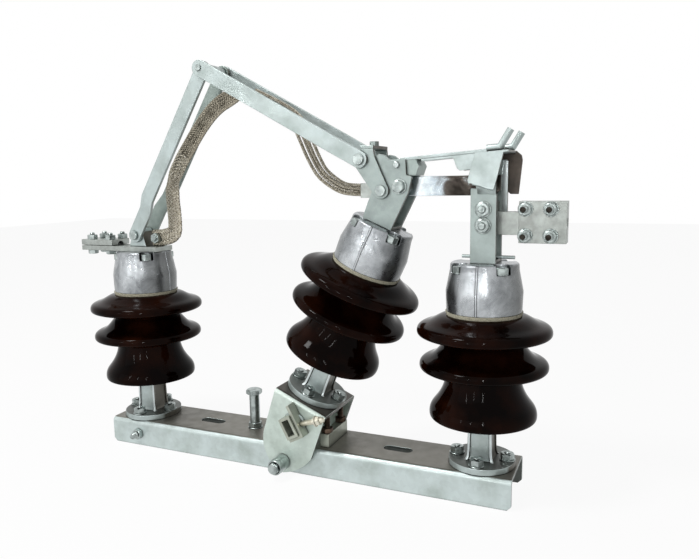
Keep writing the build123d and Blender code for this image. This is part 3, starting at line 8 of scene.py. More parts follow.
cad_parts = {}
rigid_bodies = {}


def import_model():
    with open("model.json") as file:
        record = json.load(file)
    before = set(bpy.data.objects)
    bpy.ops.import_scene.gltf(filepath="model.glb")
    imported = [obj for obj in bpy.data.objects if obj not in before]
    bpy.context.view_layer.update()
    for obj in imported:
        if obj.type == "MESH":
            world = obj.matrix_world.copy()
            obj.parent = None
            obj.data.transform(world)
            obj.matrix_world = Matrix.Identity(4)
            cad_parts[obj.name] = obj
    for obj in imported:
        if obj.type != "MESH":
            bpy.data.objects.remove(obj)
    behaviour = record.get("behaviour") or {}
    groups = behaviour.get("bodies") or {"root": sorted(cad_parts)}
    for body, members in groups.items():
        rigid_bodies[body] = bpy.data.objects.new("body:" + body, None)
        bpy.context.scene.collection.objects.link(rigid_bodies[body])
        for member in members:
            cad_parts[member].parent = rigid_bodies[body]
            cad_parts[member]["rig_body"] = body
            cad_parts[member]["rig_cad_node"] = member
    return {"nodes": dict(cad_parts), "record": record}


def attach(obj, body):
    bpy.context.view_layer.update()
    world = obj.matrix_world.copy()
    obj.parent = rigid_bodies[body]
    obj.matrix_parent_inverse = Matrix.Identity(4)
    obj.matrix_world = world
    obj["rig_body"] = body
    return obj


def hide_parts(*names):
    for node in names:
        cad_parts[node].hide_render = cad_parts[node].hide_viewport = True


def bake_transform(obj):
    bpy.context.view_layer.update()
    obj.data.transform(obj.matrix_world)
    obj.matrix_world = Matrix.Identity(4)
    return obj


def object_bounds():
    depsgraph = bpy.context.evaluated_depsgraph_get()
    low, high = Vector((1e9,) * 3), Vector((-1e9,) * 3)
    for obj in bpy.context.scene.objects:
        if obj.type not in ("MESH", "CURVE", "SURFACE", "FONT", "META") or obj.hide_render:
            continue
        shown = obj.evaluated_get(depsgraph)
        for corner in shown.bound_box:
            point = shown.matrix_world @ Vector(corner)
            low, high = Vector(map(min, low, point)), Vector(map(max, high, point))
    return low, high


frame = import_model()
cad_low, cad_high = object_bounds()

MM = 0.001
CAD = frame["nodes"]
RECORD = frame["record"]
SLOT_OF = {row["node"]: row["material_slot"] for row in RECORD["subparts"]}
BODY_OF = {name: body for body, names in RECORD["behaviour"]["bodies"].items() for name in names}

# Places that the part's source also uses, in millimetres
POST_SPACING = 620.0
LEAN = math.radians(23.6)
PIVOT_Z = -24.0
CENTRE_POST_FOOT = (-10.8, 107.0)
BOLT_CIRCLE = 76.2
DISC_TOP = 9.5
POCKET_FLOOR = 291.0
POCKET_REACH = 42.0
JAW_X = 312.0
JAW_FACE = 24.0
JAW_BOLT_Z = (381.96, 358.96)
CLAMP_X = (368.0, 402.0)
CLAMP_Z = (381.96, 344.96)
CLAMP_FACE = 12.5
PAD_X = (-414.5, -371.5)
PAD_Y = 15.5
PAD_TOP = 324.5
PAD_NUT_Z = 298.05
STOP_X = -88.0
STOP_BLOCK_X = 64.0
STOP_SCREW_Y = 26.0
STOP_SCREW_TOP = 57.85
EARTH_X = -304.5
CHANNEL_SIDE = 50.0
FLANGE_INNER_SIDE = 45.0
HEAD_FACE = 25.0
BLADE_BOLT = (188.98, 414.71)
LATCH_BOLT = (184.98, 445.96)
TUBE_CENTRE = (-5.0, 71.0)
ROCKER_SIDE = 61.0

LEFT_POST = Matrix.Translation((-POST_SPACING / 2 * MM, 0, 0))
RIGHT_POST = Matrix.Translation((POST_SPACING / 2 * MM, 0, 0))
ROCKER = Matrix.Translation((0, 0, PIVOT_Z * MM)) @ Matrix.Rotation(LEAN, 4, "Y")
CENTRE_POST = ROCKER @ Matrix.Translation((CENTRE_POST_FOOT[0] * MM, 0, CENTRE_POST_FOOT[1] * MM))


# Materials

SPANGLE_MM = 7.0  # zinc crystals
WIRE_MM = 2.4  # braid wires, drawn about ten times too coarse so that they show
ZINC_ROUGHNESS = 0.38


def linear(colour):
    """Linear colour of an sRGB hex value, with full alpha."""
    parts = [int(colour[i : i + 2], 16) / 255 for i in (1, 3, 5)]
    return [c / 12.92 if c <= 0.04045 else ((c + 0.055) / 1.055) ** 2.4 for c in parts] + [1.0]


def node(tree, kind, inputs=(), stops=(), **settings):
    """Adds a shader node: settings are its properties, inputs are values or sockets to link."""
    made = tree.nodes.new("ShaderNode" + kind)
    for key, value in settings.items():
        setattr(made, key, value)
    for key, value in dict(inputs).items():
        if isinstance(value, bpy.types.NodeSocket):
            tree.links.new(value, made.inputs[key])
        else:
            made.inputs[key].default_value = value
    for index, (position, colour) in enumerate(stops):
        ramp = made.color_ramp.elements
        stop = ramp[index] if index < 2 else ramp.new(position)
        stop.position = position
        stop.color = linear(colour) if isinstance(colour, str) else (colour, colour, colour, 1)
    return made


def start(name, metallic, roughness):
    """New material with its tree, its shader and the piece's own coordinates in metres."""
    material = bpy.data.materials.new(name)
    material.use_nodes = True
    tree = material.node_tree
    shader = tree.nodes["Principled BSDF"]
    shader.inputs["Metallic"].default_value = metallic
    shader.inputs["Roughness"].default_value = roughness
    return material, tree, shader, node(tree, "TexCoord").outputs["Object"]


def noise(tree, place, size_mm, detail=4.0, rough=0.55, distortion=0.0):
    """Cloudy value whose blotches are about size_mm across."""
    settings = {"Vector": place, "Scale": 1 / (size_mm * MM), "Detail": detail}
    settings.update({"Roughness": rough, "Distortion": distortion})
    return node(tree, "TexNoise", settings).outputs["Fac"]


def shades(tree, share, stops):
    """Colour that follows a share along stops: first the two ends, then any between them."""
    return node(tree, "ValToRGB", {"Fac": share}, stops).outputs["Color"]


def mixed(tree, share, first, second):
    """Colour between two colours or colour sockets."""
    made = node(tree, "Mix", {"Factor": share}, data_type="RGBA")
    for key, value in (("A", first), ("B", second)):
        socket = [s for s in made.inputs if s.name == key and s.type == "RGBA"][0]
        if isinstance(value, bpy.types.NodeSocket):
            tree.links.new(value, socket)
        else:
            socket.default_value = linear(value)
    return [s for s in made.outputs if s.type == "RGBA"][0]


def between(tree, value, low, high, first=0.0, last=1.0):
    """Value spread from low..high to first..last, and held at the ends."""
    inputs = {"Value": value, 1: low, 2: high, 3: first, 4: last}
    return node(tree, "MapRange", inputs).outputs["Result"]


def bump(tree, shader, height, depth_mm):
    """Raises the surface by a pattern, depth_mm from its low to its high places."""
    made = node(tree, "Bump", {"Height": height, "Strength": 1.0, "Distance": depth_mm * MM})
    tree.links.new(made.outputs["Normal"], shader.inputs["Normal"])


def upward(tree, low, high):
    """Share from 0 to 1 as a face turns from level low to level high towards the sky."""
    normal = node(tree, "NewGeometry").outputs["Normal"]
    up = node(tree, "SeparateXYZ", {0: normal}).outputs["Z"]
    return between(tree, up, low, high)


def sideways(tree, low, high):
    """Share from 0 to 1 as a face turns from level low to level high towards either end."""
    normal = node(tree, "NewGeometry").outputs["Normal"]
    along = node(tree, "SeparateXYZ", {0: normal}).outputs["X"]
    size = node(tree, "Math", {0: along}, operation="ABSOLUTE").outputs[0]
    return between(tree, size, low, high)


def painted_crevice_shade(tree, tone, painted_shade_colour, reach_mm=4.0):
    """Painted shade: darker colour in corners, under washers and along joints, where shade falls.
    """
    near = node(tree, "AmbientOcclusion", {"Distance": reach_mm * MM}, samples=8).outputs["AO"]
    return mixed(tree, between(tree, near, 0.3, 0.8, 1.0, 0.0), tone, painted_shade_colour)


def zinc(name, tones, painted_top_shade=None, painted_top_shade_from=0.8, sides=None, reach_mm=4.0, painted_shade_colour="#3A3B37"):
    """Hot-dip galvanised steel: faint spangle under a cool, slightly milky carbonate bloom.

    The tones run from pale through middle to dull; painted shade on tops, ends and corners.
    """
    material, tree, shader, place = start(name, metallic=0.55, roughness=ZINC_ROUGHNESS)
    pale, middle, dull = tones
    bloom = noise(tree, place, size_mm=45, detail=6, rough=0.6)
    tone = shades(tree, bloom, [(0.32, dull), (0.62, pale), (0.47, middle)])
    crystals = node(tree, "TexVoronoi", {"Vector": place, "Scale": 1 / (SPANGLE_MM * MM)})
    speck = shades(tree, crystals.outputs["Color"], [(0.0, 0.90), (1.0, 1.0)])
    spangled = {"data_type": "RGBA", "blend_type": "MULTIPLY"}
    tone = node(tree, "Mix", {0: 1.0, 6: tone, 7: speck}, **spangled).outputs[2]
    # Painted shade on the faces that look up
    if painted_top_shade:
        tone = mixed(tree, upward(tree, painted_top_shade_from, painted_top_shade_from + 0.04), tone, painted_top_shade)
    # Painted shade on the faces turned to the ends
    if sides:
        tone = mixed(tree, sideways(tree, 0.84, 0.9), tone, sides)
    # Painted shade in the corners
    tree.links.new(painted_crevice_shade(tree, tone, painted_shade_colour, reach_mm), shader.inputs["Base Color"])
    matt = noise(tree, place, size_mm=18, detail=5)
    rough = between(tree, matt, 0.3, 0.7, ZINC_ROUGHNESS - 0.08, ZINC_ROUGHNESS + 0.12)
    tree.links.new(rough, shader.inputs["Roughness"])
    bump(tree, shader, noise(tree, place, size_mm=6, detail=3), depth_mm=0.05)
    return material


def plated(name, pale, dull, roughness):
    """Zinc-plated steel fasteners: brighter and smoother than the dipped sheet, dull in places."""
    material, tree, shader, place = start(name, 1.0, roughness)
    tone = shades(tree, noise(tree, place, size_mm=9, detail=5), [(0.35, dull), (0.62, pale)])
    # Painted shade in the corners and under washers
    tree.links.new(painted_crevice_shade(tree, tone, "#343531", 3.0), shader.inputs["Base Color"])
    bump(tree, shader, noise(tree, place, size_mm=3), depth_mm=0.02)
    return material


def glaze():
    """Brown-black salt glaze on electrical porcelain: deep gloss, in places a little browner."""
    name = "glazed_porcelain_dark_brown"
    material, tree, shader, place = start(name, metallic=0.0, roughness=0.07)
    shader.inputs["IOR"].default_value = 1.5
    shader.inputs["Specular IOR Level"].default_value = 0.04
    cloud = noise(tree, place, size_mm=60, detail=3)
    tone = shades(tree, cloud, [(0.4, "#060100"), (0.72, "#220D05")])
    tree.links.new(tone, shader.inputs["Base Color"])
    bump(tree, shader, noise(tree, place, size_mm=26, detail=2), depth_mm=0.2)
    return material


def cement():
    """Portland cement between porcelain and cap: pale, matt and sandy."""
    material, tree, shader, place = start("set_cement_sandy", metallic=0.0, roughness=0.9)
    grit = noise(tree, place, size_mm=2.0, detail=6, rough=0.7)
    tone = shades(tree, grit, [(0.3, "#8E8A76"), (0.62, "#D3CFB9")])
    tree.links.new(tone, shader.inputs["Base Color"])
    bump(tree, shader, grit, depth_mm=0.5)
    return material


def cast_cap():
    """Sand-cast cap, galvanised bright: large soft stains over a finely pitted skin."""
    name = "cast_iron_cap_galvanised_bright"
    material, tree, shader, place = start(name, metallic=0.9, roughness=0.28)
    stain = noise(tree, place, size_mm=38, detail=5, rough=0.62, distortion=0.6)
    tone = shades(tree, stain, [(0.30, "#74777A"), (0.68, "#C4C8CB"), (0.50, "#A0A4A7")])
    # Painted shade on the faces turned to either end, and in the corners
    tone = mixed(tree, sideways(tree, 0.4, 1.15), tone, "#4A4B49")
    tree.links.new(painted_crevice_shade(tree, tone, "#2E2F2D", 6.0), shader.inputs["Base Color"])
    wear = noise(tree, place, size_mm=14, detail=4)
    tree.links.new(between(tree, wear, 0.3, 0.7, 0.22, 0.36), shader.inputs["Roughness"])
    bump(tree, shader, noise(tree, place, size_mm=9, detail=4, rough=0.6), depth_mm=0.22)
    return material


def tinned_braid(name, pale, middle, dark):
    """Tinned copper wire braid: khaki grey, dull, with bright flecks on the crowns of the wires."""
    material, tree, shader, place = start(name, metallic=0.6, roughness=0.42)
    fleck = noise(tree, place, size_mm=2.6, detail=3, rough=0.6)
    tone = shades(tree, fleck, [(0.25, dark), (0.75, pale), (0.5, middle)])
    # Painted shade between the wires
    tree.links.new(painted_crevice_shade(tree, tone, "#1E1A13", 2.4), shader.inputs["Base Color"])
    lay = {"Vector": place, "Scale": 1 / (WIRE_MM * MM), "Distortion": 2.0, "Detail": 1.0}
    bump(tree, shader, node(tree, "TexWave", lay).outputs["Fac"], depth_mm=0.06)
    return material


def silvered_blade():
    """Silver-plated copper bar: blue-white near the head, tarnished to brown-black at the hood."""
    name = "silver_plated_copper_tarnished"
    material, tree, shader, place = start(name, metallic=1.0, roughness=0.24)
    along = node(tree, "SeparateXYZ", {0: place}).outputs["X"]
    share = between(tree, along, 196 * MM, 266 * MM)
    patch = noise(tree, place, size_mm=26, detail=6, rough=0.65, distortion=1.0)
    tarnish = node(tree, "Math", {0: share, 1: patch}, operation="ADD").outputs[0]
    tarnish = node(tree, "Math", {0: tarnish, 1: 0.62}, operation="MULTIPLY").outputs[0]
    stops = [(0.48, "#D5DCE0"), (1.0, "#14110F"), (0.68, "#A3ADB3"), (0.84, "#4A4540")]
    tree.links.new(shades(tree, tarnish, stops), shader.inputs["Base Color"])
    bump(tree, shader, noise(tree, place, size_mm=12), depth_mm=0.08)
    return material


def cast_terminal():
    """Tin-plated bronze castings of the cable clamps: slightly warm grey with soft stains."""
    material, tree, shader, place = start("tin_plated_bronze_cast", metallic=0.9, roughness=0.36)
    cloud = noise(tree, place, size_mm=16, detail=5)
    tone = shades(tree, cloud, [(0.35, "#8D918D"), (0.65, "#A8AEAA")])
    tree.links.new(tone, shader.inputs["Base Color"])
    bump(tree, shader, noise(tree, place, size_mm=4), depth_mm=0.12)
    return material


# Painted shade for the faces turned to the ends and for the faces that look up
PAINTED_END_SHADE = "#5A5850"
PAINTED_TOP_SHADE = {"painted_top_shade": "#6A6E6A", "painted_top_shade_from": 0.88}
BAR_TONES = ("#B9C5C4", "#AEB9B7", "#9FABA8")
FINISH = {
    "galvanised": zinc("galvanised_steel_bar", BAR_TONES, sides=PAINTED_END_SHADE, **PAINTED_TOP_SHADE),
    "fasteners": plated("zinc_plated_steel_bolts", "#B1BAB8", "#848C8A", 0.32),
    "porcelain": glaze(),
    "cement": cement(),
    "cast_cap": cast_cap(),
    "braid": tinned_braid("tinned_copper_braid_dull", "#BAB4A3", "#9D9686", "#807866"),
    "blade": silvered_blade(),
    "terminal": cast_terminal(),
}

# Head plates and jaw post: the same dip, greyer, with painted dark brown shade on the ends and
# painted shade on the tops
BRACKET_TONES = ("#A2AEAB", "#96A19E", "#899491")
BRACKET_ZINC = zinc("galvanised_steel_bracket", BRACKET_TONES, sides="#48443B", **PAINTED_TOP_SHADE)

# Rocker plates: paler on the front, with painted brown shade on the top and the ends
ROCKER_TONES = ("#D0DDD5", "#C6D3CB", "#B5C2B9")
ROCKER_ZINC = zinc("galvanised_steel_rocker", ROCKER_TONES, painted_top_shade="#4E4A44", sides="#3A342D")

# Rear bar: darker all over, painted shade of the bar that lies behind the front one
REAR_BAR_SHADE_TONES = ("#94A09B", "#87938E", "#75817C")
REAR_BAR_SHADED_ZINC = zinc("galvanised_steel_rear_bar_painted_shade", REAR_BAR_SHADE_TONES, sides=PAINTED_END_SHADE)

# Inside of the hood's rear cheek: brown all over, painted shade
CHEEK_SHADED_ZINC = zinc("galvanised_steel_rear_cheek_painted_shade", ("#5E554D", "#4C453F", "#3B3631"))

# Inside of the channel: dark all over, painted shade
SHADED_ZINC = zinc("galvanised_steel_inside_painted_shade", ("#5C615D", "#4C504D", "#3E413E"))

# Latch block: plain grey, with no painted shade on the top or the ends
LATCH_ZINC = zinc("galvanised_steel_latch_block", ("#A6B2AE", "#9AA6A2", "#8D9995"))

# Drive tube and clamp: warm grey, with painted shade that reaches far out of the corners
DRIVE_TONES = ("#B2B7AA", "#A5AA9D", "#94998C")
DRIVE_ZINC = zinc("galvanised_steel_drive_tube", DRIVE_TONES, reach_mm=12.0, painted_shade_colour="#1C1A16")

# Stem ribs and the edge of the jaw: pale as a painted highlight, with painted shade on the ends
HIGHLIGHT_TONES = ("#DDE6E6", "#D2DBDB", "#C2CCCB")
HIGHLIGHT_ZINC = zinc("galvanised_steel_painted_highlight", HIGHLIGHT_TONES, sides="#6A685F")

# Folded channel: pale flanges, with painted brown shade on the top of the web
CHANNEL_TONES = ("#CCD8D7", "#C2CECC", "#B2BEBA")
CHANNEL_ZINC = zinc(
    "galvanised_steel_folded_channel", CHANNEL_TONES, painted_top_shade="#7A7870", painted_top_shade_from=0.87
)

# Newer braid: brighter crowns with deeper shade between the wires
BRIGHT_BRAID = tinned_braid("tinned_copper_braid_bright", "#E2DED3", "#A9A291", "#736B5A")

# Single fasteners: yellow chromate on the clamp screw; rust on the stop screws, darkened further as
# painted shade; dark stud ends, also used as painted shade beside the stem ribs
YELLOW_ZINC = plated("yellow_passivated_zinc_screw", "#DCD9CA", "#BDB8A4", 0.4)
RUSTED_AND_SHADED = plated("rust_stained_steel_screw_painted_shade", "#6E5D50", "#3A2F29", 0.5)
DARK_ENDS_AND_RIB_SHADE = plated("dark_stud_ends_and_painted_rib_shade", "#3A3732", "#211F1C", 0.5)


# Modelling helpers

# Angles in degrees up to which an edge is shaded smooth
SMOOTH_SHEET = 24
SMOOTH_BOLTS = 30
SMOOTH_CASTING = 35
SMOOTH_WIRES = 60

HEXAGON_CHAMFER = math.radians(30)
THREAD_PITCH = 1.5
WELD_MM = 0.002


def clear():
    """Nothing selected, object mode."""
    if bpy.context.object and bpy.context.object.mode != "OBJECT":
        bpy.ops.object.mode_set(mode="OBJECT")
    bpy.ops.object.select_all(action="DESELECT")


def pick(piece):
    """Only this piece selected and active."""
    clear()
    piece.select_set(True)
    bpy.context.view_layer.objects.active = piece


def apply_modifiers(piece):
    """Makes the live modifiers of a piece part of its mesh."""
    pick(piece)
    for modifier in list(piece.modifiers):
        bpy.ops.object.modifier_apply(modifier=modifier.name)


def smooth(piece, degrees):
    """Shades a piece smooth, except across edges that are sharper than the angle."""
    pick(piece)
    bpy.ops.object.shade_smooth_by_angle(angle=math.radians(degrees))


def dress(piece, material):
    """Gives a piece one finish all over."""
    piece.data.materials.clear()
    piece.data.materials.append(material)


def stained(piece, material, chosen):
    """Gives the chosen faces another finish."""
    piece.data.materials.append(material)
    for face in piece.data.polygons:
        if chosen(face):
            face.material_index = len(piece.data.materials) - 1


def finished(piece, name, body, material, replaced=()):
    """Names a piece, gives it its finish and body, and hides the plain nodes it stands for."""
    piece.name = name
    piece.data.name = name
    if material:
        dress(piece, material)
    if body:
        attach(piece, body)
    if replaced:
        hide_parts(*replaced)
    return piece


def fasteners(piece, name, body, replaced=(), material=FINISH["fasteners"]):
    """Smooths and finishes a set of bolts, nuts and washers."""
    smooth(piece, SMOOTH_BOLTS)
    return finished(piece, name, body, material, replaced)


def turned(profile, steps=32):
    """Solid turned about Z from the closed section given as (radius, height) corners in mm."""
    clear()
    bpy.ops.mesh.primitive_circle_add(vertices=len(profile), radius=MM)
    piece = bpy.context.object
    for vertex, (radius, height) in zip(piece.data.vertices, profile):
        vertex.co = (radius * MM, 0, height * MM)
    bpy.ops.object.mode_set(mode="EDIT")
    bpy.ops.mesh.select_all(action="SELECT")
    bpy.ops.mesh.spin(steps=steps, angle=2 * math.pi, center=(0, 0, 0), axis=(0, 0, 1))
    bpy.ops.mesh.select_all(action="SELECT")
    bpy.ops.mesh.remove_doubles(threshold=WELD_MM * MM)
    bpy.ops.mesh.delete_loose()
    bpy.ops.mesh.select_all(action="SELECT")
    bpy.ops.mesh.normals_make_consistent(inside=False)
    bpy.ops.object.mode_set(mode="OBJECT")
    return piece


def round_bar(radius, low, high):
    """Plain round shank along Z."""
    return turned([(0, low), (radius, low), (radius, high), (0, high)])


def hexagon(flats, height, under=True):
    """Hexagon nut or head standing on the origin, its corners turned off at 30 degrees.

    Without under, only the top is turned, as on a head or a nut on its flat face.
    """
    clear()
    corner = flats / math.sqrt(3)
    bpy.ops.mesh.primitive_cylinder_add(
        vertices=6, radius=corner * MM, depth=height * MM, location=(0, 0, height / 2 * MM)
    )
    piece = bpy.context.object
    bpy.ops.object.transform_apply()
    rim = 0.47 * flats
    drop = (corner - rim) * math.tan(HEXAGON_CHAMFER)
    foot = [(rim, 0), (corner, drop)] if under else [(corner, 0)]
    section = [(0, 0), *foot, (corner, height - drop), (rim, height), (0, height)]
    blank = turned(section, 36)
    cut = piece.modifiers.new("chamfer", "BOOLEAN")
    cut.operation = "INTERSECT"
    cut.solver = "EXACT"
    cut.object = blank
    apply_modifiers(piece)
    bpy.data.objects.remove(blank)
    return piece


def threaded(radius, low, high, tip=1.0):
    """Threaded end of a stud from low to high: ridges of the real pitch under a chamfered tip."""
    depth = 0.5 * THREAD_PITCH
    turns = max(1, int((high - low - tip) / THREAD_PITCH))
    step = (high - low - tip) / turns
    section = [(0, low), (radius - depth, low)]
    for turn in range(turns):
        section.append((radius, low + (turn + 0.5) * step))
        section.append((radius - depth, low + (turn + 1) * step))
    section += [(radius - depth - 0.4 * tip, high), (0, high)]
    return turned(section, 24)


def washer(outer, inner, low, high):
    """Flat washer with broken edges."""
    edge = 0.4
    section = [(inner, low), (outer - edge, low), (outer, low + edge), (outer, high - edge)]
    section += [(outer - edge, high), (inner, high)]
    return turned(section, 36)


def moved(piece, matrix):
    """Moves the mesh of a piece, and leaves its object at the origin."""
    piece.data.transform(matrix)
    return piece


def copied(model, matrix):
    """Copy of a model at a place, with its own mesh."""
    copy = model.copy()
    copy.data = model.data.copy()
    bpy.context.scene.collection.objects.link(copy)
    return moved(copy, matrix)


def joined(pieces):
    """One object from several."""
    clear()
    for piece in pieces:
        piece.select_set(True)
    bpy.context.view_layer.objects.active = pieces[0]
    bpy.ops.object.join()
    return bpy.context.object


def set_out(model, places):
    """One object holding a copy of the model at each place; the model itself goes."""
    copies = [copied(model, place) for place in places]
    bpy.data.objects.remove(model)
    return joined(copies) if len(copies) > 1 else copies[0]


def turn_about(axis, degrees):
    return Matrix.Rotation(math.radians(degrees), 4, axis)


def at(x, y, z, turn=0.0):
    """Placement in millimetres, turned about Z by degrees."""
    return Matrix.Translation((x * MM, y * MM, z * MM)) @ turn_about("Z", turn)


def facing_front(x, y, z, spin=0.0):
    """Placement that lays a model standing on Z along -Y, turned about its own axis."""
    return at(x, y, z) @ turn_about("X", 90) @ turn_about("Z", spin)


def facing_back(x, y, z, spin=0.0):
    """Placement that lays a model standing on Z along Y, turned about its own axis."""
    return at(x, y, z) @ turn_about("X", -90) @ turn_about("Z", spin)


def eased(name, width=0.6, material=None, steps=2):
    """Copy of a plain node whose sharp edges are broken, as on sheared and dipped steel."""
    pick(CAD[name])
    bpy.ops.object.duplicate()
    piece = bpy.context.object
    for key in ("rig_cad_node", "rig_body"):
        if key in piece:
            del piece[key]
    bpy.ops.object.mode_set(mode="EDIT")
    bpy.ops.mesh.select_all(action="SELECT")
    bpy.ops.mesh.remove_doubles(threshold=0.005 * MM)
    bpy.ops.mesh.dissolve_limited(angle_limit=math.radians(1.0))
    bpy.ops.object.mode_set(mode="OBJECT")
    edge = piece.modifiers.new("broken_edges", "BEVEL")
    edge.width = width * MM
    edge.segments = steps
    edge.limit_method = "ANGLE"
    edge.angle_limit = math.radians(38)
    edge.use_clamp_overlap = False
    apply_modifiers(piece)
    smooth(piece, SMOOTH_SHEET)
    level = piece.modifiers.new("level_faces", "WEIGHTED_NORMAL")
    level.weight = 100
    level.keep_sharp = True
    apply_modifiers(piece)
    slot = SLOT_OF[name]
    finish = material or FINISH[slot]
    return finished(piece, name + "_eased", BODY_OF[name], finish, [name])


# Bolts, nuts, washers and threads: radii, flats and heights in millimetres

LAP = 0.1  # how far a thread starts inside its nut
POST_STUD = 5.0
CLAMP_STUD = 4.6
CLAMP_STUD_TIP = 23.0
JAW_STUD = 5.4
LARGE_STUD = 5.9  # blade bolt, and the bore of the large washers


def base_stud_set():
    """Washer, nut and stud end on a hole of a base disc."""
    seat, nut_height = DISC_TOP + 2.0, 9.0
    nut_top = seat + nut_height
    return joined(
        [
            washer(11.5, POST_STUD, DISC_TOP, seat),
            moved(hexagon(18, nut_height, under=False), at(0, 0, seat)),
            threaded(POST_STUD, nut_top - LAP, nut_top + 1.8),
        ]
    )


def disc_holes():
    """The four holes of a base disc as x, y and the chance turn of the nut."""
    rng = random.Random(11)
    holes = []
    for quarter in range(4):
        angle = math.radians(90 * quarter)
        x, y = BOLT_CIRCLE / 2 * math.cos(angle), BOLT_CIRCLE / 2 * math.sin(angle)
        holes.append((x, y, rng.uniform(0, 60)))
    return holes


def under_nut(grip):
    """Nut and threaded end under the plate, grip thick, that a base disc stands on."""
    nut_height = 8.0
    face = -grip - nut_height
    nut = moved(hexagon(17, nut_height), at(0, 0, face))
    return joined([nut, threaded(POST_STUD, face - 1.0, face + LAP, tip=0.3)])


def pocket_head():
    """Forged hexagon head on its washer, lying in a cap's pocket."""
    return joined([hexagon(17, 10.5, under=False), washer(9.8, POST_STUD, 0, 1.4)])


def post_fasteners(grip, posts, name, body, replaced):
    """Studs of the base discs, nuts under the two in line with the channel, and cap bolts."""
    above, under, head = base_stud_set(), under_nut(grip), pocket_head()
    holes = disc_holes()
    spots = [post @ at(x, y, 0, turn) for post in posts for x, y, turn in holes]
    in_line = [post @ at(x, y, 0, turn) for post in posts for x, y, turn in holes if abs(x) > 1]
    pockets = []
    for post in posts:
        for corner in (45, 135, 225, 315):
            a = math.radians(corner)
            x, y = POCKET_REACH * math.cos(a), POCKET_REACH * math.sin(a)
            pockets.append(post @ at(x, y, POCKET_FLOOR, corner + 17))
    piece = joined([set_out(above, spots), set_out(under, in_line), set_out(head, pockets)])
    fasteners(piece, name, body, [replaced])


def clamp_fasteners():
    """M8 studs of both cable clamps: nuts and stud ends in front or above, heads opposite."""
    seat, nut_height = 1.8, 8.0
    front = joined(
        [
            washer(10.5, CLAMP_STUD, 0, seat),
            moved(hexagon(16, nut_height), at(0, 0, seat)),
            threaded(CLAMP_STUD, seat + nut_height - LAP, CLAMP_STUD_TIP),
        ]
    )
    back = joined([hexagon(16, 6.5, under=False), washer(4.0, 0.5, 6.4, 7.5)])
    right = [(x, z) for x in CLAMP_X for z in CLAMP_Z]
    fronts = [facing_front(x, -CLAMP_FACE, z, 13 * i) for i, (x, z) in enumerate(right)]
    backs = [facing_back(x, CLAMP_FACE, z, 13 * i) for i, (x, z) in enumerate(right)]
    upper = joined([hexagon(16, 8.5), threaded(CLAMP_STUD, 8.3, 12.5)])
    lower = hexagon(16, 6.9)
    left = [(x, side * PAD_Y) for x in PAD_X for side in (-1, 1)]
    tops = [at(x, y, PAD_TOP, 17 * i) for i, (x, y) in enumerate(left)]
    lows = [at(x, y, PAD_NUT_Z, 11 * i) for i, (x, y) in enumerate(left)]
    rows = ((front, fronts), (back, backs), (upper, tops), (lower, lows))
    piece = joined([set_out(model, places) for model, places in rows])
    fasteners(piece, "cable_clamp_bolts_threaded", "base", ["clamp_bolts"])
    tip = -(CLAMP_FACE + CLAMP_STUD_TIP) * MM
    stained(piece, DARK_ENDS_AND_RIB_SHADE, lambda face: abs(face.center.y - tip) < 0.5 * MM)


def jaw_fasteners():
    """Two jaw bolts: large washer, nut and stud end in front, washer and nut behind."""
    seat, nut_height = 1.8, 6.5
    front = joined(
        [
            washer(11.5, LARGE_STUD, 0, seat),
            moved(hexagon(18, nut_height), at(0, 0, seat)),
            threaded(JAW_STUD, seat + nut_height - LAP, 11.5),
        ]
    )
    back = joined(
        [washer(10.5, LARGE_STUD, 0, seat), moved(hexagon(17, 6.0), at(0, 0, seat))]
    )
    fronts = [facing_front(JAW_X, -JAW_FACE, z, 20 * i) for i, z in enumerate(JAW_BOLT_Z)]
    backs = [facing_back(JAW_X, JAW_FACE, z, 9 * i) for i, z in enumerate(JAW_BOLT_Z)]
    piece = joined([set_out(front, fronts), set_out(back, backs)])
    fasteners(piece, "jaw_bolts_with_washers", "base", ["jaw_bolts"])


def head_fasteners():
    """Blade bolt and the smaller latch bolt across the head bracket."""
    seat = 1.4
    head = moved(hexagon(16.5, 7.0, under=False), at(0, 0, seat))
    large = joined([washer(11.5, LARGE_STUD, 0, seat), head])
    small = hexagon(8.5, 4, under=False)
    x, z = BLADE_BOLT
    u, v = LATCH_BOLT
    face = HEAD_FACE
    blade = set_out(large, [facing_front(x, -face, z, 12), facing_back(x, face, z, 40)])
    latch = set_out(small, [facing_front(u, -face, v, 5), facing_back(u, face, v, 0)])
    shank = round_bar(LARGE_STUD, LAP - face, face - LAP)
    piece = joined([blade, latch, moved(shank, facing_front(x, 0, z))])
    fasteners(piece, "head_bolts_chamfered", "rocker", ["head_bolts"])


def stop_bolt():
    """Adjustable bolt that stops the opening rocker, with its washer and lock nuts."""
    seat = 1.6
    bolt = joined(
        [
            moved(hexagon(24, 8.5), at(STOP_X, 0, 60.5, 8)),
            moved(washer(12.5, 8, 0, seat), at(STOP_X, 0, 0)),
            moved(hexagon(21, 8.5), at(STOP_X, 0, seat, 21)),
            moved(hexagon(24, 13), at(STOP_X, 0, -18, 3)),
            moved(round_bar(8.6, 10, 60.6), at(STOP_X, 0, 0)),
        ]
    )
    fasteners(bolt, "stop_bolt_threaded", "base", ["stop_bolt"])


